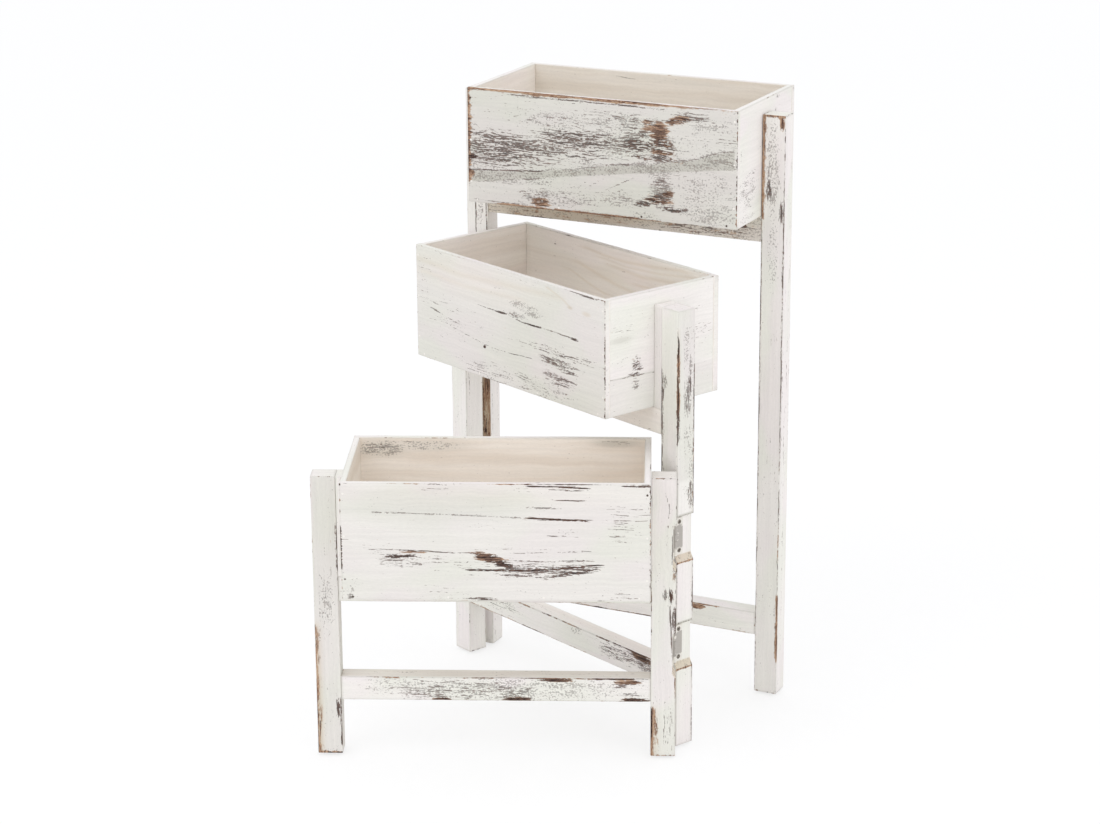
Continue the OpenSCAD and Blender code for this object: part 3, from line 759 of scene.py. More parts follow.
# low frame
pieces["low_box_front"] = {"seed": 3, "step": 2.2, "strayLines": 0.55, "edgeWear": 0.62, "front": [
    (262, 85, 16, 4, 0, 0, 0.6), (70, 54.5, 27, 3.2, 0.7, 1.25), (86, 48, 46, 10, 0.7, 0.55),
    (86, 60, 18, 2, 0.8, 0, 0, 0.85), (216, 38, 50, 9, 0.95, 0.6), (165, 2.5, 22, 2, 1.2),
    (10.4, 5, 4, 5, 0.8, 0, 1), (12, 13, 2.2, 5, 0, 0, 1.1),
    ([(40, 109), (94, 107), (146, 105.5), (225, 102)], 1.1, 1, 0, 1),
    ([(246, 124.8), (280, 124)], 0.9, 1.45), ([(208, 115.5), (272, 113.5)], 1.2, 0.95),
    ([(246, 80.6), (274, 80)], 1.1, 1.15), ([(36, 62.6), (84, 61.7), (130, 59.5)], 1.3, 1.25),
    ([(196, 50), (240, 49), (292, 51)], 1.4, 1.15), ([(140, 59.6), (207, 59.3), (288, 61.9)], 1.2, 0.9),
    ([(150, 38), (200, 37.5), (250, 40), (300, 45)], 1.3, 1.6),
    ([(190, 32), (240, 29), (282, 35), (300, 43)], 1.2, 1.25),
    ([(250, 33), (275, 36), (296, 40)], 1.1, 1.4),
    ([(222, 141.5), (262, 140.5), (284, 139)], 1.5, 1.6, 0, 0, 0.4),
    ([(246, 137.6), (278, 136)], 1.1, 1.2), ([(330, 142), (358, 141.5)], 1.3, 1.6),
    stroke([(222, 102), (255, 100.8), (284, 99.5)], 1.6, 16, lines=1.65, bare=0.8),
    patch(173, 53, 20, 6, rise=-0.22, bare=0.95, dashes=1.15, lines=1),
    patch(190, 45, 15, 5, rise=-0.22, dashes=1.3, lines=1.1),
    patch(262, 38, 40, 9, rise=0.08, lines=0.95, dashes=0.75),
    patch(280, 38, 24, 6, rise=0.2, lines=1.05, dashes=0.8),
    rub("start", [(36, 0), (40, 1), (88, 1), (94, 0)], 2, lines=1.5),
    rub("start", [(0, 0.8), (40, 0.7), (144, 0.7)], 1.4, edge=0.95),
    rub("end", [(0, 0.6), (60, 0.8), (130, 1), (144, 1)], 1.6, edge=0.95),
    patch(180, 132, 190, 14, soft=0.8, inside=0.25),
    # darker towards the upper left
    patch(110, 118, 150, 30, soft=0.9, soil=0.34),
    # painted shade: an even grey veil darkens the whole face
    stretch(-5, 365, soil=0.2),
], "edges": [
    rub(frontTop, [(0, 0.5), (60, 0.9), (150, 0.8), (240, 1.15), (290, 1.2), (360, 1.1)], 1.3,
        edge=0.95),
    rub(frontBottom, [(0, 0.6), (60, 0.3), (140, 0.9), (180, 0.8), (250, 0.5), (360, 0.4)], 1.2,
        edge=0.9),
]}
pieces["low_box_back"] = {"seed": 4, "strayDots": 0.12, "chance": {"back": (10,)}, "front": [
    (60, 138, 26, 3, 0, 0.62),
    patch(34, 130, 32, 11, dots=0.95, dashes=0.7, soil=0.3),
    patch(88, 134, 50, 7, dots=0.78, soil=0.22),
    patch(318, 138, 26, 5, lines=0.6, soil=0.5),
]}
pieces["low_box_left_end"] = {"seed": 5, "fine": {"left": 1.6}, "chance": {"left": (6,)}, "right": [
    # painted shade: an even grey veil darkens this face inside the box
    stretch(-5, 170, soil=0.16),
]}
pieces["low_box_right_end"] = {"seed": 6, "step": 2.5, "strayLines": 0.2, "strayDots": 0.1,
    "fine": {"right": 1.6}, "chance": {"right": (6,)}}
pieces["low_left_post"] = {"seed": 7, "joined": [("front", "right", 228, 360)],
    "chance": {"left": (6,), "back": (6,), "right": (3, 0.6)}, "front": [
    (196, 16, 40, 8, 0, 0.4, 0.72), (60, 26, 16, 2.5, 0, 1.2),
    ([(230, 22), (262, 22.5)], 1.1, 0.85), ([(150, 6), (230, 8)], 1.2, 0, 0, 0.8),
    rub("start", [(0, 1), (30, 1)], 3, bare=1.3, edge=0.8),
    rub("end", [(0, 0.7), (30, 0.7)], 1.2, edge=0.8),
    # painted shade: an even grey veil darkens the front, beside the box
    stretch(-5, 360, soil=0.25),
], "right": [
    # painted shade: a stronger grey veil darkens the side that faces the box
    stretch(-5, 360, soil=0.42),
], "edges": [
    rub(frontLeft, [(0, 1), (100, 0.9), (160, 0.7), (176, 0)], 6.5, bare=0.98, raw=0.8),
    rub(frontLeft, [(0, 0.9), (355, 0.8)], 1.3, edge=1),
    rub(frontRight, [(8, 0), (13, 1), (72, 0.9), (80, 0)], 2.4, lines=1.4, edge=1),
    rub(frontRight, [(232, 0), (241, 1), (294, 0.9), (300, 0)], 2.6, lines=1.3),
]}
pieces["low_right_post"] = {"seed": 8, "strayLines": 0.35, "chance": {"right": (5,), "back": (6,)},
    "recessed": "right", "front": [
    (208, 17, 9, 3.4, 0.9, 1.05, 0.8), (207, 24, 10, 3.6, 1.1, 1.3, 0.8), (271, 28.5, 28, 2.4, 1.25, 1.1),
    (238, 28, 12, 3, 0, 0, 0.9, 0.5), (178, 27.5, 18, 3.4, 0, 1, 0.9), (40, 20, 34, 7, 0, 0.66),
    ([(20, 6), (50, 8)], 1, 0.9), ([(296, 20), (318, 21.5), (336, 17)], 1, 1.1),
    stroke([(246, 25), (296, 25.2)], 0.9, 6, lines=1.15),
    stroke([(108, 27.5), (150, 25), (192, 22.5)], 1, 6, lines=1.45),
    rub("end", [(0, 0.8), (30, 0.8)], 1.4, edge=0.85),
    rub("start", [(0, 0.9), (30, 0.8)], 2.4, edge=1, bare=0.9),
    # painted shade: an even grey veil darkens the whole front
    stretch(-5, 360, soil=0.1),
], "edges": [
    rub(frontLeft, [(0, 1), (58, 1), (68, 0)], 8, bare=1.2, raw=0.45),
    rub(frontLeft, [(18, 0), (26, 1), (60, 1), (68, 0)], 3.2, lines=1.6),
    rub(frontLeft, [(0, 0.8), (355, 0.6)], 1.2, edge=0.9),
    rub(frontRight, [(104, 0), (112, 0.9), (184, 1), (192, 0)], 3.2, lines=1.4),
    rub(frontRight, [(0, 0.5), (90, 0.8), (290, 1.1), (300, 0.6), (355, 0.5)], 1.5, edge=1.1),
]}
pieces["low_upper_rail"] = {"seed": 9, "fine": {"front": 1.6}, "chance": {"front": (5,), "back": (5,)}}
pieces["low_lower_rail"] = {"seed": 10, "strayDots": 0.45, "chance": {"back": (8,), "top": (3, 0.6)},
    "front": [
    (132, 14, 88, 17, 0, 0.72, 0.7), (175, 15, 60, 14, 0, 0.76), (206, 12, 26, 10, 0, 0.9),
    (232, 15, 130, 17, 0, 0, 0.82), (108, 10, 46, 9, 0.75), (60, 18, 40, 12, 0.55, 0, 0.6),
    (346, 26, 16, 4.5, 0, 1, 0, 0.95), (335, 20, 14, 5, 0, 0.9), (214, 2.5, 19, 3, 1.5, 0, 0, 1),
    (121, 1.5, 13, 2.6, 1.3, 0, 0, 1), (356, 2.2, 18, 2.8, 1.4, 0, 0, 1.1), (349, 8, 16, 6, 0, 0.8),
    (260, 27.5, 22, 2.6, 1.2, 0, 0, 0.9),
    stroke([(254, 4), (255, 20)], 0.9, 3, lines=1.1),
], "top": [
    # painted shade under the box: the creamy wash and grey over the rail's top
    band([(0, 3), (373, 3)], [(0, 25), (373, 25)], 1.5, inside=0.75, soil=0.28),
], "edges": [
    rub(frontTop, [(20, 0.2), (40, 0.9), (60, 0.4), (205, 0.7), (222, 1.1), (312, 1.1), (330, 0.9),
        (372, 1)], 1.8, edge=1.15, lines=0.8),
    rub(frontBottom, [(0, 0.4), (100, 0.7), (372, 1)], 1.3, edge=1.1),
]}
pieces["low_spacer"] = {"seed": 11, "joined": [("front", "left", -5, 130), ("back", "left", -5, 130)]}
pieces["low_box_bottom"] = {"seed": 12}

# middle frame
pieces["middle_box_front"] = {"seed": 13, "strayLines": 0.42, "front": [
    (170, 90, 11, 2.2, 1.15, 0.8), (229, 87, 20, 1.4, 1.45, 0.9), (305, 86, 8, 1.8, 1.35, 0.9),
    (196, 93, 22, 4, 0, 0.7, 0.9), (135, 40, 3, 2.2, 1.6, 0, 1.4), (210, 107, 26, 6, 0, 0, 1),
    (228, 101, 18, 5, 0, 0, 1), (276, 50, 40, 7, 0.9, 0.7), (272, 49, 28, 3.4, 1.05, 0.7),
    (290, 43, 24, 3, 1.05), (262, 33, 15, 4.4, 0, 0.85, 0.9), (278, 27, 26, 7, 0, 0.85, 0.7),
    (285, 30, 24, 5, 0.9), (279, 62, 74, 6, 0.8), (152, 8, 60, 16, 0.6, 0, 0.5),
    (70, 58, 34, 8, 0.5, 0, 0.4), (240, 12, 70, 14, 0.62, 0, 0.5),
    ([(123, 91), (185, 89.3), (211, 86.2), (245, 87), (311, 86.2)], 1.1, 1.1, 0, 0.6),
    ([(60, 54), (77, 51), (135, 43), (182, 42), (225, 45)], 0.9, 1.05, 0, 0.5),
    ([(30, 68), (60, 62), (84, 58)], 1.1, 0.9), ([(300, 143), (345, 142)], 1.4, 1.2),
    rub("end", [(0, 0.7), (30, 0.5), (44, 1), (56, 0.7), (97, 0.95), (102, 0.5), (144, 0.6)], 1.5,
        edge=1.15, lines=1),
    rub("start", [(0, 0.5), (144, 0.7)], 1.2, edge=0.9),
    patch(110, 122, 110, 22, soft=0.8, inside=0.45),
    stroke([(10, 126), (90, 122), (180, 127), (270, 131)], 4, 30, raw=0.16),
    stroke([(20, 112), (100, 109), (200, 114)], 3, 30, raw=0.12),
    stroke([(257, 139), (285, 130), (297, 124)], 1.6, 8, raw=0.3),
    patch(297, 123, 4.5, 2, soil=0.45, raw=0.35),
    patch(327, 121, 7, 2.6, soil=0.2, raw=0.3),
    # painted shade: an even grey veil darkens the whole face, against the lamp from the left
    stretch(-5, 365, soil=0.24),
], "edges": [
    rub(frontTop, [(0, 0.4), (200, 0.5), (300, 0.8), (360, 0.7)], 1.2, edge=0.9),
    rub(frontBottom, [(0, 0.6), (360, 0.5)], 1.2, edge=0.9),
]}
pieces["middle_box_back"] = {"seed": 14, "insideTone": 0.55, "fine": {"front": 1.6},
    "chance": {"back": (10,)}, "front": [
    (64, 128, 10, 6, 0, 0.5),
    stroke([(130, 134), (161, 131), (199, 130), (256, 134), (300, 139)], 2, 30, raw=0.3),
    stroke([(160, 127), (200, 124), (260, 127), (330, 135)], 1.3, 30, raw=0.26),
    stroke([(180, 120), (230, 117), (290, 121), (345, 130)], 2.6, 30, raw=0.28),
    stroke([(230, 105), (280, 108), (320, 114), (350, 122)], 1.5, 30, raw=0.3),
    stroke([(110, 113), (150, 104), (180, 98), (215, 94)], 2.4, 26, raw=0.24),
    stroke([(96, 100), (130, 89), (160, 82)], 1.4, 26, raw=0.25),
    patch(60, 92, 60, 60, rise=-0.5, soft=0.5, soil=0.06),
]}
pieces["middle_box_left_end"] = {"seed": 15, "insideTone": 0.6, "fine": {"right": 1.6},
    "chance": {"left": (6,)}, "right": [
    ([(70, 126.8), (120, 128), (162, 129)], 1.3, 0.62), ([(90, 112.4), (162, 112)], 1.2, 0.6),
]}
pieces["middle_box_right_end"] = {"seed": 16, "strayLines": 0.3, "right": [
    (42, 55, 9, 12, 0, 1.02, 0.8), (36, 47, 12, 2.4, 0.9, 0, 0, 0.6), (40, 35, 6, 8, 0, 0.8, 0.7),
    (148, 82, 16, 10, 0.6, 0.5), (118, 110, 20, 3, 0.6),
    stroke([(-12, 46.3), (40, 44.5), (90, 43)], 0.9, lines=1.2, soil=0.5),
    band([(-1, -2), (165, -2)], [(-1, 45.4), (165, 40.5)], 0.8, soil=0.12),
    patch(16, 92, 16, 4, soil=0.3),
], "edges": [
    rub(("right", "top"), [(0, 0.6), (60, 0.3), (164, 0.5)], 1.2, edge=0.9),
]}
pieces["middle_right_post"] = {"seed": 17, "strayDots": 0.3, "joined": [("front", "left", 462, 555)],
    "chance": {"back": (8,)}, "recessed": "right", "front": [
    (460, 7, 9, 4, 0, 0.8, 1.1), (445, 3, 12, 3, 0, 1.2),
    # painted shade: a wide grey oval darkens the upper front beside the box
    patch(420, 15, 130, 16, soil=0.16),
], "right": [
    (442, 15, 26, 6, 0, 0.85, 1.05), (452, 19, 30, 3, 0, 1, 0.9), (505, 13, 26, 5, 0, 0, 0.9),
    (478, 20, 16, 4, 0.7, 0, 0.85), (390, 16, 34, 9, 0, 0, 0.6), (322, 22, 22, 6, 0, 0.8, 1),
    (345, 20, 40, 8, 0, 0, 0.66),
    # painted shade: an even grey veil darkens the right face above 340 mm
    stretch(340, 555, soil=0.2),
], "edges": [
    rub(frontRight, [(412, 0), (420, 0.8), (436, 1), (497, 1), (512, 0.6), (526, 0.5), (531, 0)],
        3, bare=1.2, raw=0.3),
    rub(frontRight, [(380, 0), (388, 0.9), (430, 1), (505, 0.9), (530, 0.5)], 2.8, lines=1.45),
    rub(frontLeft, [(340, 0.9), (362, 1), (380, 0.75), (400, 0.9), (472, 0.9), (482, 0)], 4.6,
        lines=1.5),
    rub(("right", "back"), [(0, 0.6), (300, 0.8), (475, 1), (490, 0.5), (550, 0.3)], 3.2, edge=1,
        lines=1.6, soil=0.5),
    rub(frontRight, [(0, 0.6), (340, 0.75), (346, 0.4), (378, 0.3)], 1.2, edge=0.95),
]}
pieces["middle_left_post"] = {"seed": 18, "fine": {"front": 1.2, "right": 1.2},
    "chance": {"left": (7,), "back": (7,), "right": (5, 0.6)}, "recessed": "left", "edges": [
    rub(frontLeft, [(0, 0.6), (300, 0.8), (380, 0.9), (550, 0.5)], 1.3, edge=1),
]}
pieces["middle_upper_rail"] = {"seed": 19, "front": [
    # painted shade under the box: the creamy wash over the whole rail front
    band([(0, -2), (373, -2)], [(0, 34), (373, 34)], 2, inside=0.45),
], "edges": [
    rub(frontBottom, [(0, 0.4), (373, 0.6)], 1.4, edge=1),
]}
pieces["middle_lower_rail"] = {"seed": 20, "strayLines": 0.35, "front": [
    (214, 25, 13, 6, 0, 0, 0.9), (292, 18, 44, 11, 0, 0.85, 0.6), (60, 16, 46, 12, 0.6, 0, 0.6),
    ([(262, 16), (290, 15)], 1.1, 1.2),
    stroke([(213, 27), (214, 8)], 1.4, 3, dots=1.2),
    stroke([(219, 27), (220, 12)], 1.2, 3, dots=1.1),
    patch(318, 20, 30, 7, rise=-0.1, dashes=0.85),
    patch(343, 20, 28, 12, rise=-0.25, dots=1.1, dashes=0.95),
    patch(340, 26, 26, 5, rise=-0.12, bare=1, dashes=1.3),
], "top": [
    # painted shade under the box: the creamy wash over the rail's top
    band([(0, 3), (373, 3)], [(0, 25), (373, 25)], 2, inside=0.4),
], "edges": [
    rub(frontTop, [(60, 0.3), (90, 0.8), (150, 0.7), (180, 0.85), (215, 0.9), (235, 0.2),
        (262, 0.6), (300, 0.8), (345, 1), (372, 1)], 1.8, edge=1.2, lines=0.9),
    rub(frontBottom, [(0, 0.9), (30, 0.8), (120, 0.9), (200, 0.6), (230, 0.75), (260, 0.3),
        (372, 0.3)], 2, edge=1.1, bare=1.1),
]}
pieces["middle_spacer"] = {"seed": 21, "coarse": 1.6,
    "joined": [("front", "right", -5, 130), ("back", "right", -5, 130)], "front": [
    # painted shade: an even grey veil darkens the front
    stretch(-5, 130, soil=0.16),
]}
pieces["middle_box_bottom"] = {"seed": 22}

# tall frame; a grey band with this upper line runs over its box front
greyTop = [(5, 40.4), (34, 43), (64, 45), (99, 47.7), (119, 52), (148, 53.7), (171, 59.8), (200, 65),
           (245, 69.8), (273, 75.8), (306, 80.7), (326, 88.5), (342, 93), (356, 95)]
pieces["tall_box_front"] = {"seed": 23, "strayDots": 0.75, "edgeWear": 0.6, "fine": {"front": 0.9},
    "front": [
    (46, 70, 56, 27, 0.7, 0.95), (60, 74, 84, 17, 0.95), (36, 64, 42, 19, 0.85, 0.95),
    (170, 88, 90, 9, 0.85), (26, 86, 30, 8, 0, 0.9), (130, 76, 88, 13, 0, 0.85),
    (96, 60, 44, 7, 0.7, 0.75), (214, 118, 50, 14, 0, 0.72, 0.8), (120, 112, 62, 15, 0, 0.5, 0.66),
    (232, 93, 32, 12, 0, 1.1), (256, 90, 34, 14, 0, 0.95), (254, 78, 38, 5, 0.8, 1, 0, 0.55),
    (258, 111, 13, 13, 0.9, 1, 0, 1.05), (230, 104, 22, 12, 0, 0.9), (262, 97, 18, 6, 0, 1.15, 0, 0.85),
    (264, 86, 20, 4, 0, 0.9, 0, 0.7), (246, 116, 12, 10, 0, 0, 0.8, 0.75), (300, 96, 40, 26, 0, 0, 0.5),
    (336, 84, 22, 11, 0, 0, 0.95), (250, 64, 34, 9, 0, 0, 1), (60, 35, 70, 7, 0, 0, 0.8),
    (128, 17, 54, 13, 0, 0.5, 0.75), (92, 16, 24, 10, 0, 0.75, 0.9), (100, 9, 14, 6, 0, 1, 0, 0.9),
    (262, 40, 17, 20, 0, 0.85, 1.1), (258, 27, 20, 8, 0, 1.1, 0, 0.8), (270, 35, 9, 7, 0, 1, 0, 0.8),
    (278, 17, 24, 4, 0.8, 1.1), (237, 20, 16, 5, 0, 1.1), (206, 22, 26, 9, 0, 0.6, 0.85),
    (322, 34, 42, 38, 0, 0, 0.7), (328, 13, 36, 13, 0, 0, 0.9), (300, 132, 30, 10, 0.8, 0, 0.5),
    (6, 58, 9, 4.2, 1.35, 1.1), (4, 36, 6, 4, 0, 0.8, 0, 1.1),
    ([(60, 139.5), (130, 138.4), (200, 138.8), (262, 138)], 1.3, 1.2, 0, 1),
    patch(150, 92, 70, 15, rise=0.03, dashes=1, dots=0.5),
    patch(283, 126, 18, 6, rise=0.22, bare=1, dashes=0.9, lines=0.8),
    band([(5, 25.5), (34, 28), (122, 41.9), (228, 56), (356, 72)], greyTop, 2, soil=0.75, dots=0.78),
    stroke(greyTop, 1.9, 4, lines=0.85, dots=1.15),
    stroke([(20, 42), (64, 45), (99, 47.7)], 1.2, 6, lines=1.3),
    stroke([(5, 25.5), (60, 33), (122, 41.4)], 1.2, 6, lines=0.95),
    stroke([(182, 30), (203, 40), (225, 51)], 1.1, 6, lines=1.15),
    stroke([(192, 26), (212, 36)], 1, 6, lines=1),
    stroke([(168, 36), (184, 46)], 1, 6, lines=0.9),
    stroke([(148, 30), (160, 39)], 1, 6, lines=0.9),
    stroke([(286, 128), (306, 131), (330, 127)], 1.1, 6, lines=0.95),
    stroke([(5, 5), (60, 3), (110, 6)], 1.3, 6, lines=0.9),
    rub("start", [(20, 0.5), (30, 0.9), (60, 1), (138, 0.9), (144, 0.8)], 5.2, bare=1.25),
    rub("start", [(20, 0.6), (40, 1), (68, 1), (72, 0.5), (144, 0.7)], 1.8, lines=1.4),
    rub("end", [(0, 0.8), (144, 0.85)], 1.5, edge=1.1),
    # painted shade: an even grey veil darkens the whole face, apart from the grey band
    stretch(-5, 365, soil=0.42),
], "edges": [
    rub(frontTop, [(0, 0.9), (30, 0.8), (60, 1), (130, 0.9), (256, 0.95), (275, 0.6), (360, 0.4)],
        3.6, bare=1.35),
    rub(frontTop, [(0, 0.6), (100, 0.9), (256, 0.95), (275, 0.6), (360, 0.6)], 1.4, edge=1.1),
    rub(frontBottom, [(0, 0.3), (70, 0.6), (130, 0.95), (360, 0.8)], 1.5, edge=1.1),
    rub(frontBottom, [(26, 0), (40, 0.9), (90, 0.8), (130, 1), (226, 1), (252, 0)], 3.2,
        bare=1.25),
]}
pieces["tall_box_back"] = {"seed": 24, "chance": {"back": (12, 0.8)}, "front": [
    patch(190, 136, 120, 5, lines=0.5, soil=0.4),
    # painted shade: an even grey veil darkens the whole face inside the box
    stretch(-5, 365, soil=0.32),
]}
pieces["tall_box_left_end"] = {"seed": 25, "insideTone": 0.45, "chance": {"left": (7,)}}
pieces["tall_box_right_end"] = {"seed": 26, "strayLines": 0.15, "right": [
    (24, 40, 30, 26, 0, 0.4, 0.74), (44, 61, 9, 4, 0, 0.6, 0.85), (118, 140, 6, 3.4, 0, 0.7, 0.95),
    (112, 124, 4, 3, 0, 0, 0.85), (4, 87, 3, 7, 0, 0, 0.8), (22, 8, 24, 5, 0, 0, 0.6),
]}
pieces["tall_right_post"] = {"seed": 27, "strayDots": 0.35, "fine": {"right": 1.2},
    "chance": {"right": (8, 0.7), "back": (8,)}, "front": [
    (705, 14, 40, 8, 0, 0, 0.9), (668, 13, 46, 10, 0, 0.6, 0.82), (655, 9.5, 14, 5, 0.95, 1.1, 0.9),
    (738, 26, 9, 3.4, 0.7, 0, 0, 1), (575, 16, 50, 9, 0, 0, 0.66), (628, 26, 16, 3, 0, 1.1, 1.2),
    # painted shade: an even grey veil darkens the whole front
    stretch(-5, 755, soil=0.16),
    rub("end", [(2, 0.8), (8, 1), (30, 1)], 3.8, bare=1.3),
    rub("start", [(0, 0.9), (30, 0.9)], 2, edge=1),
], "edges": [
    rub(frontLeft, [(612, 0), (620, 0.9), (700, 1), (748, 1)], 5, bare=1.35),
    rub(frontLeft, [(0, 0.7), (600, 0.75), (640, 1), (748, 1)], 1.3, edge=1.1, lines=0.9),
    rub(frontLeft, [(0, 0.7), (300, 0.8), (560, 1), (600, 1), (612, 0)], 2.2, lines=1.5, soil=0.6),
    rub(frontRight, [(0, 0.7), (300, 0.75), (610, 0.85), (660, 1), (748, 0.7)], 1.4, edge=1.1),
    rub(frontRight, [(0, 0.6), (140, 0.7), (500, 0.9), (640, 1), (700, 0.4)], 1.8, lines=1.4,
        soil=0.6),
    rub(frontRight, [(38, 0), (47, 1), (128, 0.9), (140, 0)], 3, bare=1.3),
]}
pieces["tall_left_post"] = {"seed": 28, "strayDots": 0.3,
    "chance": {"left": (9,), "back": (9,), "right": (5, 0.6)}, "recessed": "left", "front": [
    (297, 22, 4, 3, 1.4, 1.1), (590, 18, 24, 7, 0, 0.62, 0.6),
    ([(560, 12.8), (612, 12.4)], 1.1, 1.4), ([(568, 28), (604, 27.4)], 1.1, 1.5),
    patch(325, 27, 72, 10, soft=0.3, bare=0.85, raw=0.85),
    patch(362, 26, 14, 8, lines=0.9, soil=0.4),
], "edges": [
    rub(frontRight, [(0, 0.5), (748, 0.7)], 1.3, edge=1),
]}
pieces["tall_upper_rail"] = {"seed": 29, "strayLines": 0.5, "strayDots": 0.4, "fine": {"front": 1},
    "front": [
    (346, 18, 9, 3.4, 1.6, 1.4),
    # partly painted shade of the box above: grey and raw wood over the whole front, with specks of wear
    band([(0, -2), (373, -2)], [(0, 34), (373, 34)], 2, soil=0.4, raw=0.2, dots=0.6),
    patch(90, 16, 170, 18, soft=0.35, raw=0.45, bare=0.4),
    patch(110, 27, 120, 5, soft=0.5, bare=0.85),
    patch(300, 12, 80, 12, soft=0.5, bare=0.4, dashes=0.8),
], "edges": [
    rub(frontBottom, [(0, 0.8), (373, 0.8)], 1.8, edge=1),
]}
pieces["tall_lower_rail"] = {"seed": 30, "strayLines": 0.15, "strayDots": 0.15, "fine": {"top": 1.4},
    "front": [
    (294, 26, 11, 5, 0, 0.6, 0, 1.15),
], "edges": [
    rub(frontTop, [(0, 0.4), (240, 0.6), (270, 0.95), (320, 0.9), (330, 0.3), (373, 0.3)], 1.6,
        edge=1.1, lines=0.7),
    rub(frontBottom, [(0, 0.6), (120, 0.7), (150, 1), (210, 1), (240, 0.8), (290, 0.6),
        (373, 0.5)], 2.2, edge=1, bare=1.1, lines=0.9),
]}
pieces["tall_spacer"] = {"seed": 31, "endWear": 1}
pieces["tall_box_bottom"] = {"seed": 32}

for tier in frameTurn:
    for role in roles:
        woodPiece(tier, role, pieces[f"{tier}_{role}"])
    print(tier, "frame made")


# the turned and stamped parts keep their solids and get finishes on Object coordinates
def spots(tree, size, detail=2.0):
    # noise whose blotches are about size millimetres
    place = addNode(tree, "ShaderNodeTexCoord").outputs["Object"]
    return addNode(tree, "ShaderNodeTexNoise", {
        "Vector": place, "Scale": 0.5 / (size * mm), "Detail": detail}).outputs["Fac"]


def twoTone(name, look):
    # a finish of two colours that change places in blotches, with a second, finer grain in roughness and bump
    material = newMaterial(name)
    tree = material.node_tree
    share = mapped(tree, spots(tree, look["blotch"]), *look["change"], interpolation_type="SMOOTHSTEP")
    if "leafHeights" in look:
        # whitewash has run over the ends: beyond the reach from every leaf's middle height
        place = addNode(tree, "ShaderNodeTexCoord").outputs["Object"]
        height = addNode(tree, "ShaderNodeSeparateXYZ", {0: place}).outputs["Z"]
        away = 1.0
        for middle in look["leafHeights"]:
            gap = calculated(tree, "ABSOLUTE", calculated(tree, "SUBTRACT", height, middle))
            away = calculated(tree, "MINIMUM", gap, away)
        away = calculated(tree, "MULTIPLY_ADD", spots(tree, 4.0), look["ragged"] * mm, away)
        rim = (look["reach"] + look["ragged"] / 2) * mm
        share = calculated(tree, "MAXIMUM", share, mapped(tree, away, rim, rim + look["rim"] * mm))
    grit = spots(tree, look["grit"], 3.0)
    metal = look["metal"][0]
    if metal != look["metal"][1]:
        metal = mapped(tree, share, 0.0, 1.0, *look["metal"])
    bump = addNode(tree, "ShaderNodeBump", {"Height": grit, "Strength": 0.4, "Distance": look["relief"] * mm})
    surface = addNode(tree, "ShaderNodeBsdfPrincipled", {
        "Base Color": blended(tree, share, linear(look["first"]), linear(look["second"])),
        "Roughness": mapped(tree, grit, 0.3, 0.7, *look["rough"]),
        "Metallic": metal, "Normal": bump.outputs[0]})
    addNode(tree, "ShaderNodeOutputMaterial", {0: surface.outputs[0]})
    return material


# Blotch and grit are in mm, change is the range of the noise over which the first colour gives way to the
# second, and rough and metal are for the first and the second.
# zinc plated steel: light grey, dulled to a satin, with specks of dried whitewash
zincSteel = {"first": "#bab5af", "second": "#e6e2da", "blotch": 3.0, "change": (0.64, 0.72), "grit": 0.5,
             "rough": (0.42, 0.62), "metal": (0.85, 0.0), "relief": 0.03}
leafHeights = sorted({round((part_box(node)[0].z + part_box(node)[1].z) / 2, 4) for node in frame["nodes"]
                      if node.endswith("leaf")})
# hinge leaves of the same steel, painted over at their ends
paintedSteel = {**zincSteel, "leafHeights": leafHeights, "reach": 13.5, "ragged": 14.0, "rim": 2.0}
# zinc plated screws gone dark in their cross slots
screwZinc = {"first": "#827b72", "second": "#b9b3a8", "blotch": 1.2, "change": (0.5, 0.62), "grit": 0.4,
             "rough": (0.45, 0.7), "metal": (0.8, 0.4), "relief": 0.03}
# wire nails painted over: the coat covers most heads, and dark iron shows through the rest
nailIron = {"first": "#efebe5", "second": "#54463b", "blotch": 9.0, "change": (0.56, 0.6), "grit": 0.5,
            "rough": (0.55, 0.75), "metal": (0.0, 0.6), "relief": 0.03}
# moulded polythene: brown, slightly waxy, scuffed paler
glidePolythene = {"first": "#4f3b2e", "second": "#7a6453", "blotch": 2.0, "change": (0.5, 0.7), "grit": 0.6,
                  "rough": (0.4, 0.6), "metal": (0.0, 0.0), "relief": 0.04}
# turned beech: warm pale wood with short darker flecks
dowelBeech = {"first": "#d9b68c", "second": "#b98a5e", "blotch": 1.4, "change": (0.45, 0.62), "grit": 0.4,
              "rough": (0.6, 0.8), "metal": (0.0, 0.0), "relief": 0.05}
finishes = (
    ("leaf", "dulledZincSteel", paintedSteel), ("pin", "dulledZincSteelPin", zincSteel),
    ("box_screws", "zincScrews", screwZinc), ("hinge_screws", "darkZincScrews", screwZinc),
    ("nails", "paintedWireNails", nailIron), ("glides", "mouldedPolythene", glidePolythene),
    ("dowels", "turnedBeech", dowelBeech),
)
for ending, name, look in finishes:
    material = twoTone(name, look)
    for node, part in frame["nodes"].items():
        if node.endswith(ending):
            part.data.materials.clear()
            part.data.materials.append(material)
print("fittings finished")


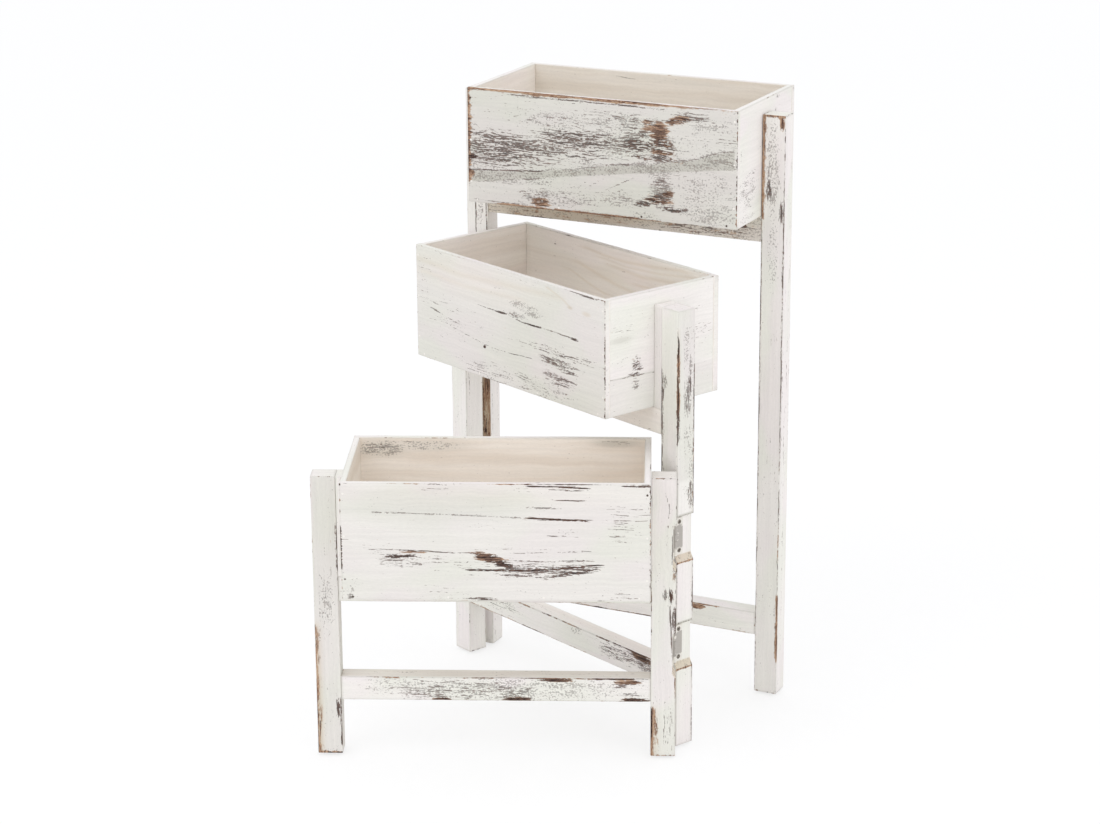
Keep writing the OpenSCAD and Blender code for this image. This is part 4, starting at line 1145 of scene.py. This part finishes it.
# studio: a pale floor that renders white but keeps the stand's shadow, a pale world and soft lamps
studio = {
    "floorSize": 30.0,          # metres
    "floorColour": "#f3f2f0",
    "floorGlow": 0.70,          # what the camera sees of the floor before any light falls on it
    "floorShare": 0.30,         # and how much of the light it adds
    "skyColour": "#f4f5f8",
    "skyStrength": 1.06,
    "lamps": (
        # place, aim, size, power in watts, colour
        ((2.6, -2.4, 1.3), (0.1, 0.0, 0.35), 2.0, 11.0, "#fffdfa"),
        ((-1.6, -1.4, 2.9), (0.0, 0.1, 0.5), 2.0, 14.0, "#ffffff"),
        ((-0.3, -4.0, 0.5), (0.0, 0.0, 0.1), 1.6, 5.0, "#ffffff"),
    ),
}


def seenDirectly(tree):
    # 1 for what the camera sees, straight, mirrored or through something clear, and 0 for light that bounces
    path = addNode(tree, "ShaderNodeLightPath").outputs
    mirrored = calculated(tree, "MAXIMUM", path["Is Glossy Ray"], path["Is Transmission Ray"])
    return calculated(tree, "MAXIMUM", path["Is Camera Ray"], mirrored)


def paleFloor(look):
    material = newMaterial("paleStudioFloor")
    tree = material.node_tree
    plain = addNode(tree, "ShaderNodeBsdfDiffuse", {"Color": linear(look["floorColour"])}).outputs[0]
    share = look["floorShare"]
    shadowed = addNode(tree, "ShaderNodeBsdfDiffuse", {"Color": (share, share, share, 1)}).outputs[0]
    glow = addNode(tree, "ShaderNodeEmission", {
        "Color": (1, 1, 1, 1), "Strength": look["floorGlow"]}).outputs[0]
    white = addNode(tree, "ShaderNodeAddShader", {0: shadowed, 1: glow}).outputs[0]
    shown = addNode(tree, "ShaderNodeMixShader", {0: seenDirectly(tree), 1: plain, 2: white}).outputs[0]
    addNode(tree, "ShaderNodeOutputMaterial", {0: shown})
    # a grid of 8 by 8 fields: x and y run over the floor, and z is 0
    steps = np.linspace(-look["floorSize"] / 2, look["floorSize"] / 2, 9)
    x, y = np.meshgrid(steps, steps)
    points = np.stack([x, y, np.zeros_like(x)], -1).reshape(-1, 3)
    index = np.arange(x.size).reshape(x.shape)
    fields = np.stack([index[:-1, :-1], index[:-1, 1:], index[1:, 1:], index[1:, :-1]], -1).reshape(-1, 4)
    mesh = bpy.data.meshes.new("floor")
    mesh.from_pydata(points.tolist(), [], fields.tolist())
    mesh.materials.append(material)
    floor = newObject("floor", mesh)


def paleWorld(look):
    world = bpy.data.worlds.new("paleWorld")
    world.use_nodes = True
    tree = world.node_tree
    tree.nodes.clear()
    sky = addNode(tree, "ShaderNodeBackground", {
        "Color": linear(look["skyColour"]), "Strength": look["skyStrength"]})
    white = addNode(tree, "ShaderNodeBackground", {"Color": (1, 1, 1, 1), "Strength": 1.0})
    shown = addNode(tree, "ShaderNodeMixShader", {
        0: seenDirectly(tree), 1: sky.outputs[0], 2: white.outputs[0]})
    addNode(tree, "ShaderNodeOutputWorld", {0: shown.outputs[0]})
    bpy.context.scene.world = world


def softLamps(look):
    for i, (place, aim, size, power, colour) in enumerate(look["lamps"]):
        lamp = newObject(f"lamp{i}", bpy.data.lights.new(f"lamp{i}", "AREA"))
        lamp.data.shape = "DISK"
        lamp.data.size = size
        lamp.data.energy = power
        lamp.data.color = linear(colour)[:3]
        lamp.location = place
        lamp.rotation_euler = (Vector(aim) - Vector(place)).to_track_quat("-Z", "Y").to_euler()


paleFloor(studio)
paleWorld(studio)
softLamps(studio)
bpy.context.scene.view_settings.view_transform = "Standard"
print("studio set")
